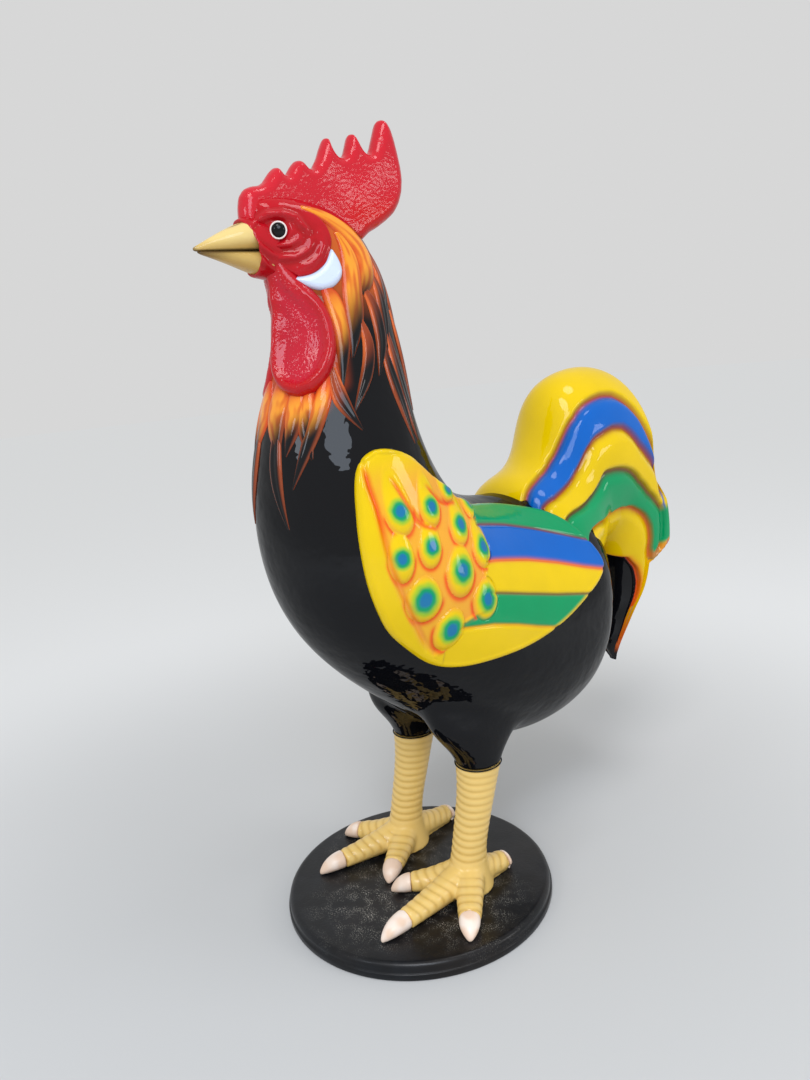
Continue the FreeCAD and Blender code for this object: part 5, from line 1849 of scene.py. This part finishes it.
@dataclass
class Leg:
    """Leg of one side, grown from the frame's shape and grooved like scales."""

    setback: float = 42.0
    foot: float = 190.0
    groove: float = 14.5
    ring: float = 11.5
    voxel: float = 2.0
    claw_voxel: float = 1.5
    # Height and half width of the toes' ridges at the ankle, and how much of each is lost at the tip
    ridge_height: tuple = (58.0, 32.0)
    ridge_half: tuple = (26.0, 8.0)
    reaches: tuple = (0.70, 0.74, 0.72, 0.80)
    tips: dict = field(default_factory=lambda: {
        "left": ((-0.40, -0.56), (0.08, -0.99), (0.55, -0.48), (0.01, 0.44)),
        "right": ((-0.41, -0.52), (0.14, -0.89), (0.53, -0.38), (0.05, 0.59)),
    })

    def ankle(self, side: Side) -> np.ndarray:
        """Middle of one leg on the disc."""
        return np.array([side.value * STANCE / 2, self.setback, 0.0])

    def tip(self, side: Side, out: float, back: float) -> np.ndarray:
        """Way from the ankle to a toe's tip, given in feet outward and back."""
        return np.array([side.value * out * self.foot, back * self.foot, 0.0])

    def grooves(self, along: np.ndarray, pitch: float) -> np.ndarray:
        """Relief, from -1 to 0.4, of narrow grooves between slightly swollen scales of one pitch."""
        off = np.abs((along / pitch + 0.5) % 1.0 - 0.5) * pitch
        return 0.4 * np.cos(np.clip(off / pitch * 2, 0, 1) * np.pi + np.pi) - 1.0 * bell(off, 1.5)

    def toes(self, side: Side) -> list:
        """Sloping ridges from the ankle down to the toes.

        Args:
            side: Side of the bird.

        Returns:
            Rings of vertices of each toe.
        """
        centre = self.ankle(side)
        turn = turns(40)
        ridges = []
        (high, drop), (half, narrowing) = self.ridge_height, self.ridge_half
        for reach, (out, back) in zip(self.reaches, self.tips[side.word]):
            tip = self.tip(side, out, back)
            length = np.linalg.norm(tip)
            ahead = tip / length
            across = np.array([-ahead[1], ahead[0], 0.0])
            rings = []
            for share in np.linspace(0, 1, 24):
                top = high - drop * share ** 0.8
                wide = half - narrowing * share
                upward = np.clip(top / 2 * (1 + np.sin(turn)), 0.5, None)[:, None] * (0, 0, 1)
                rings.append(
                    centre + ahead * (length * reach * share) + across * wide * np.cos(turn)[:, None] + upward)
            ridges.append(np.array(rings))
        return ridges

    def dense(self, node: str, voxel: float, extra: list, smooth: int) -> tuple:
        """Even mesh over a node's shape with more tubes grown to it.

        Args:
            node: Node of the frame.
            voxel: Size of the mesh's faces, in millimetres.
            extra: Tubes of vertices to grow to it.
            smooth: Smoothing steps.

        Returns:
            The mesh, its vertices in millimetres over the disc, and the directions outward.
        """
        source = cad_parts[node].data
        points = mesh_points(source) * 1000 - (0, 0, DISC_TOP)
        vertices = points.tolist()
        faces = [tuple(face.vertices) for face in source.polygons]
        for grid in extra:
            tube = joined_grids("tube", [grid])
            faces.extend(tuple(len(vertices) + corner for corner in face.vertices) for face in tube.polygons)
            vertices.extend(mesh_points(tube).tolist())
            bpy.data.meshes.remove(tube)
        whole = bpy.data.meshes.new("whole")
        whole.from_pydata(vertices, [], faces)
        whole.update()
        mesh = even_mesh(whole, voxel)
        spots = relax(mesh, mesh_points(mesh), smooth, np.ones(len(mesh.vertices)))
        mesh.vertices.foreach_set("co", spots.ravel())
        mesh.update()
        normals = np.zeros(len(spots) * 3)
        mesh.vertices.foreach_get("normal", normals)
        return mesh, spots, normals.reshape(-1, 3)

    def ridges(self, side: Side, points: np.ndarray) -> np.ndarray:
        """Relief of the scales on the toes.

        Args:
            side: Side of the bird.
            points: Vertices of the leg.

        Returns:
            Relief of each, from -1 to 0.4.
        """
        x, y, _ = (points - self.ankle(side)).T
        best = np.full(len(points), 1e9)
        ridge = np.zeros(len(points))
        for out, back in self.tips[side.word]:
            tip = self.tip(side, out, back)
            axis = tip / np.linalg.norm(tip)
            along = x * axis[0] + y * axis[1]
            off = np.abs(x * axis[1] - y * axis[0]) + np.where(along < 0, -along, 0)
            closer = off < best
            best = np.where(closer, off, best)
            wave = self.grooves(along + 0.02 * off ** 2, self.groove)
            ridge = np.where(closer, wave * ramp(along, 26, 40), ridge)
        return ridge

    def build(self, side: Side) -> bpy.types.Object:
        """Makes the grooved leg.

        Args:
            side: Side of the bird.

        Returns:
            The leg.
        """
        mesh, points, normals = self.dense("leg_" + side.word, self.voxel, self.toes(side), 8)
        x, y, z = points.T
        bent = z + 0.10 * (y - self.setback) + 2.0 * np.sin((x - self.ankle(side)[0]) / 12)
        sharp = self.ridges(side, points) * ramp(z, 46, 34) + self.grooves(bent, self.ring) * ramp(z, 44, 58)
        upper = ramp(normals[:, 2], -0.5, 0.2)
        depth = (0.62 + 0.3 * grain(points, 30.0)) * sharp * upper * ramp(z, 1, 6) * ramp(z, 206, 198)
        points = points + normals * depth[:, None]
        points[:, 2] = np.maximum(points[:, 2], 0.1)
        colours = paint_over(coated(points, LEG_CREAM), SCALE_SHADE, np.clip(-sharp, 0, 1) * upper * 0.55)
        colours = paint_over(colours, SCALE_LIGHT, np.clip(sharp * 1.6, 0, 1) * upper * 0.4)
        thing = make_object(
            "leg_scaled_" + side.word, points, take_faces(mesh), LEG_LACQUER, colours)
        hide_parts("leg_" + side.word)
        return thing

    def claws(self, side: Side) -> None:
        """Makes the four blunt claws of one side.

        Args:
            side: Side of the bird.
        """
        for toe in ("inner", "middle", "outer", "hind"):
            node = "claw_%s_%s" % (side.word, toe)
            mesh, points, _ = self.dense(node, self.claw_voxel, [], 6)
            points[:, 2] = np.maximum(points[:, 2], 0.1)
            pale = ramp(grain(points, 16.0), -0.3, 0.5)
            colours = paint_over(coated(points, CLAW_TAN), CLAW_PALE, pale)
            claw = make_object(
                "talon_%s_%s" % (side.word, toe), points, take_faces(mesh), CLAW_GLOSS, colours)
            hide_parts(node)


@dataclass(frozen=True)
class DustyPaint:
    """Satin black with pale dust specks round the feet and a brownish patch."""

    spots: tuple = ((0.1, 0.0, 0.026), (-0.09, 0.01, 0.026), (0.02, -0.09, 0.026))
    black: tuple = (9, 11, 15)
    brown: tuple = (34, 26, 20)
    haze: tuple = (70, 76, 88)
    dust: tuple = (214, 208, 196)
    shine: float = 0.25
    coat: float = 0.12
    coat_roughness: float = 0.15

    def material(self) -> bpy.types.Material:
        """Node material of the paint.

        Returns:
            The material.
        """
        made = bpy.data.materials.new("disc_paint")
        made.use_nodes = True
        wires = Wiring(made.node_tree)
        feet = None
        for spot in self.spots:
            away = wires.add("VectorMath", {0: wires.place(), 1: spot}, operation="DISTANCE").outputs["Value"]
            near = wires.spread(away, 0.13, 0.03)
            feet = near if feet is None else wires.sums("MAXIMUM", feet, near)
        specks = wires.spread(wires.cloud(620.0, 2.0), 0.58, 0.66)
        clumps = wires.spread(wires.cloud(45.0, 5.0), 0.42, 0.62)
        dust = wires.sums("MULTIPLY", wires.sums("MULTIPLY", specks, clumps), feet)
        haze = wires.sums("MULTIPLY", wires.spread(wires.cloud(22.0, 6.0), 0.4, 0.8), 0.10)
        patch = wires.sums("MULTIPLY", wires.spread(wires.cloud(6.0, 2.0), 0.52, 0.66), 0.35)
        colour = wires.blend(patch, (*srgb(*self.black), 1), srgb(*self.brown))
        colour = wires.blend(haze, colour, srgb(*self.haze))
        colour = wires.blend(dust, colour, srgb(*self.dust))
        roughness = wires.spread(wires.cloud(30.0, 5.0), 0.3, 0.7, 0.28, 0.42)
        bump = wires.add("Bump", {"Distance": 0.0002, "Height": wires.cloud(220.0, 3.0)}).outputs["Normal"]
        shader = made.node_tree.nodes["Principled BSDF"]
        wires.fill(shader, {"Base Color": colour, "Roughness": roughness, "Normal": bump})
        shader.inputs["Specular IOR Level"].default_value = self.shine
        shader.inputs["Coat Weight"].default_value = self.coat
        shader.inputs["Coat Roughness"].default_value = self.coat_roughness
        return made


@dataclass
class Disc:
    """Round black plinth with a rounded edge over a lower band."""

    edge: float = 9.0
    # Radius of the middle of the rounded edge, and outermost, innermost and number of the rings on top
    edge_middle: float = 208.5
    top_rings: tuple = (204, 6, 60)
    # Radius and height of the underside and the lower band
    band: tuple = (
        (0, 0), (120, 0), (217.5, 0), (219.2, 0.6), (220, 2.2), (220, 9.2), (219.4, 10.6), (218.2, 11.0), (217.6, 11.4))
    columns: int = 256

    def build(self) -> bpy.types.Object:
        """Makes the disc by turning its profile.

        Returns:
            The disc.
        """
        profile = list(self.band)
        for lean in np.linspace(0, np.pi / 2, 13):
            profile.append((
                self.edge_middle + self.edge * math.cos(lean), DISC_TOP - self.edge + self.edge * math.sin(lean)))
        profile += [(radius, DISC_TOP) for radius in np.linspace(*self.top_rings)] + [(0.01, DISC_TOP)]
        profile = np.array(profile)
        turn = turns(self.columns)
        points = np.stack([
            profile[:, :1] * np.cos(turn), profile[:, :1] * np.sin(turn),
            np.repeat(profile[:, 1:] - DISC_TOP, self.columns, 1)], -1)
        faces = grid_faces(len(profile), self.columns, closed=True)
        thing = make_object("disc", points, faces, DustyPaint())
        set_outward(thing)
        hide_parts("base_disc")
        return thing


@dataclass
class Studio:
    """Pale floor, soft lamps, pale surroundings and the camera of the photograph."""

    grey: float = 0.68
    near: float = 0.605
    far: float = 0.84
    around: float = 0.62
    sky: tuple = (0.97, 0.99, 1.0, 1)
    floor_half: float = 30.0
    # Distances from the bird over which the floor pales
    paling: tuple = (0.3, 2.0)
    sun_way: tuple = (0.5, -0.62, 1.0)
    sun_power: float = 0.80
    sun_degrees: float = 22.0
    # Name, place, size, power and colour
    lamps: tuple = (
        ("window", (1.75, -1.15, 1.95), 1.25, 21, (0.76, 0.86, 1.0)),
        ("side", (2.3, 1.5, 1.25), 0.8, 8, (1.0, 1.0, 1.0)),
        ("front", (0.2, -2.3, 1.7), 0.5, 4, (0.82, 0.9, 1.0)),
        ("top", (0.6, 0.5, 2.9), 0.7, 7, (0.95, 0.97, 1.0)),
    )
    aim: tuple = (0, 0.1, 0.6)
    eye: tuple = (1.0232572, -0.6788926, 0.8466)
    # Camera's right, up and forward
    axes: tuple = (
        (0.58668, 0.80425, -0.09477), (-0.10707, 0.19304, 0.97533), (-0.80271, 0.56206, -0.19937))
    sensor: float = 36.0
    focal_pixels: float = 811.0
    frame_pixels: float = 1080.0

    def add(self, name: str, data: bpy.types.ID) -> bpy.types.Object:
        """Puts a mesh, lamp or camera into the scene.

        Args:
            name: Object name.
            data: The mesh, lamp or camera.

        Returns:
            The object.
        """
        thing = bpy.data.objects.new(name, data)
        bpy.context.scene.collection.objects.link(thing)
        return thing

    def floor(self) -> None:
        """Makes the floor, a little paler far from the bird where the lamps reach less."""
        mesh = bpy.data.meshes.new("floor")
        half = self.floor_half
        mesh.from_pydata([(-half, -half, 0), (half, -half, 0), (half, half, 0), (-half, half, 0)], [], [(0, 1, 2, 3)])
        floor = self.add("floor", mesh)
        paint = bpy.data.materials.new("floor_paint")
        paint.use_nodes = True
        wires = Wiring(paint.node_tree)
        away = wires.add("VectorMath", {0: wires.place()}, operation="LENGTH").outputs["Value"]
        start, end = self.paling
        span = {"Value": away, "From Min": start, "From Max": end, "To Min": self.near, "To Max": self.far}
        tone = wires.add("MapRange", span, interpolation_type="SMOOTHERSTEP")
        shader = paint.node_tree.nodes["Principled BSDF"]
        wires.fill(shader, {"Base Color": tone.outputs["Result"]})
        shader.inputs["Roughness"].default_value = 0.9
        shader.inputs["Specular IOR Level"].default_value = 0.0
        mesh.materials.append(paint)

    def surroundings(self) -> None:
        """Makes the soft sky, seen as plain grey by the camera and in reflections."""
        world = bpy.data.worlds.new("surroundings")
        bpy.context.scene.world = world
        world.use_nodes = True
        wires = Wiring(world.node_tree)
        light = world.node_tree.nodes["Background"]
        light.inputs["Color"].default_value = self.sky
        light.inputs["Strength"].default_value = self.around
        seen = wires.add("Background", {"Color": (self.grey, self.grey, self.grey, 1), "Strength": 1.0})
        path = wires.add("LightPath", {})
        rays = path.outputs["Is Camera Ray"]
        for kind in ("Is Glossy Ray", "Is Transmission Ray"):
            rays = wires.add("Math", {0: rays, 1: path.outputs[kind]}, operation="ADD", use_clamp=True).outputs[0]
        mix = wires.add("MixShader", {"Fac": rays, 1: light.outputs[0], 2: seen.outputs[0]})
        wires.fill(world.node_tree.nodes["World Output"], {"Surface": mix.outputs[0]})

    def lights(self) -> None:
        """Hangs the broad sun and the soft lamps, which are aimed at the bird's middle."""
        sun = bpy.data.lights.new("sun", "SUN")
        sun.energy = self.sun_power
        sun.angle = math.radians(self.sun_degrees)
        self.add("sun", sun).rotation_euler = (-Vector(self.sun_way)).to_track_quat("-Z", "Y").to_euler()
        for name, place, size, power, colour in self.lamps:
            lamp = bpy.data.lights.new(name, "AREA")
            lamp.shape = "DISK"
            lamp.size, lamp.energy, lamp.color = size, power, colour
            thing = self.add(name, lamp)
            thing.location = place
            thing.rotation_euler = (Vector(self.aim) - Vector(place)).to_track_quat("-Z", "Y").to_euler()

    def camera(self) -> None:
        """Sets up the camera of the photograph."""
        camera = bpy.data.cameras.new("camera")
        camera.sensor_fit = "VERTICAL"
        camera.sensor_width = camera.sensor_height = self.sensor
        camera.lens = self.focal_pixels / self.frame_pixels * self.sensor
        thing = self.add("camera", camera)
        right, up, forward = (Vector(axis) for axis in self.axes)
        place = Matrix((right, up, -forward)).transposed().to_4x4()
        place.translation = Vector(self.eye)
        thing.matrix_world = place
        bpy.context.scene.camera = thing
        bpy.context.scene.view_settings.view_transform = "Standard"

    def build(self) -> None:
        """Makes the whole studio."""
        self.floor()
        self.surroundings()
        self.lights()
        self.camera()


def dress_inside() -> None:
    """Gives the carried-over pieces inside and underneath their finishes."""
    for name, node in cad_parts.items():
        for start, finish in (("leg_rod", STEEL), ("rod_", STEEL), ("spreader", STEEL), ("seam", GLASS_FIBRE)):
            if name.startswith(start):
                node.data.materials.clear()
                node.data.materials.append(finish.material())


def main() -> None:
    """Builds the bird in order, then the studio."""
    logging.basicConfig(level=logging.INFO, format="%(message)s")
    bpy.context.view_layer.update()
    for part in (Disc(), Body(), Tail(), Comb(), Beak()):
        part.build()
        LOG.info("built %s", type(part).__name__)
    head, locks, leg, wing, thigh = HeadSide(), Locks(), Leg(), Wing(), Thigh()
    head.muzzle()
    for side in Side:
        for build in (thigh.cuff, wing.build, head.face, head.ear_lobe, head.wattle, head.eye_parts):
            build(side)
            LOG.info("built %s %s", side.word, build.__name__)
        for name in locks.places:
            locks.build(side, name)
        leg.build(side)
        leg.claws(side)
        LOG.info("built %s locks, leg and claws", side.word)
    dress_inside()
    Studio().build()


if __name__ == "__main__":
    main()
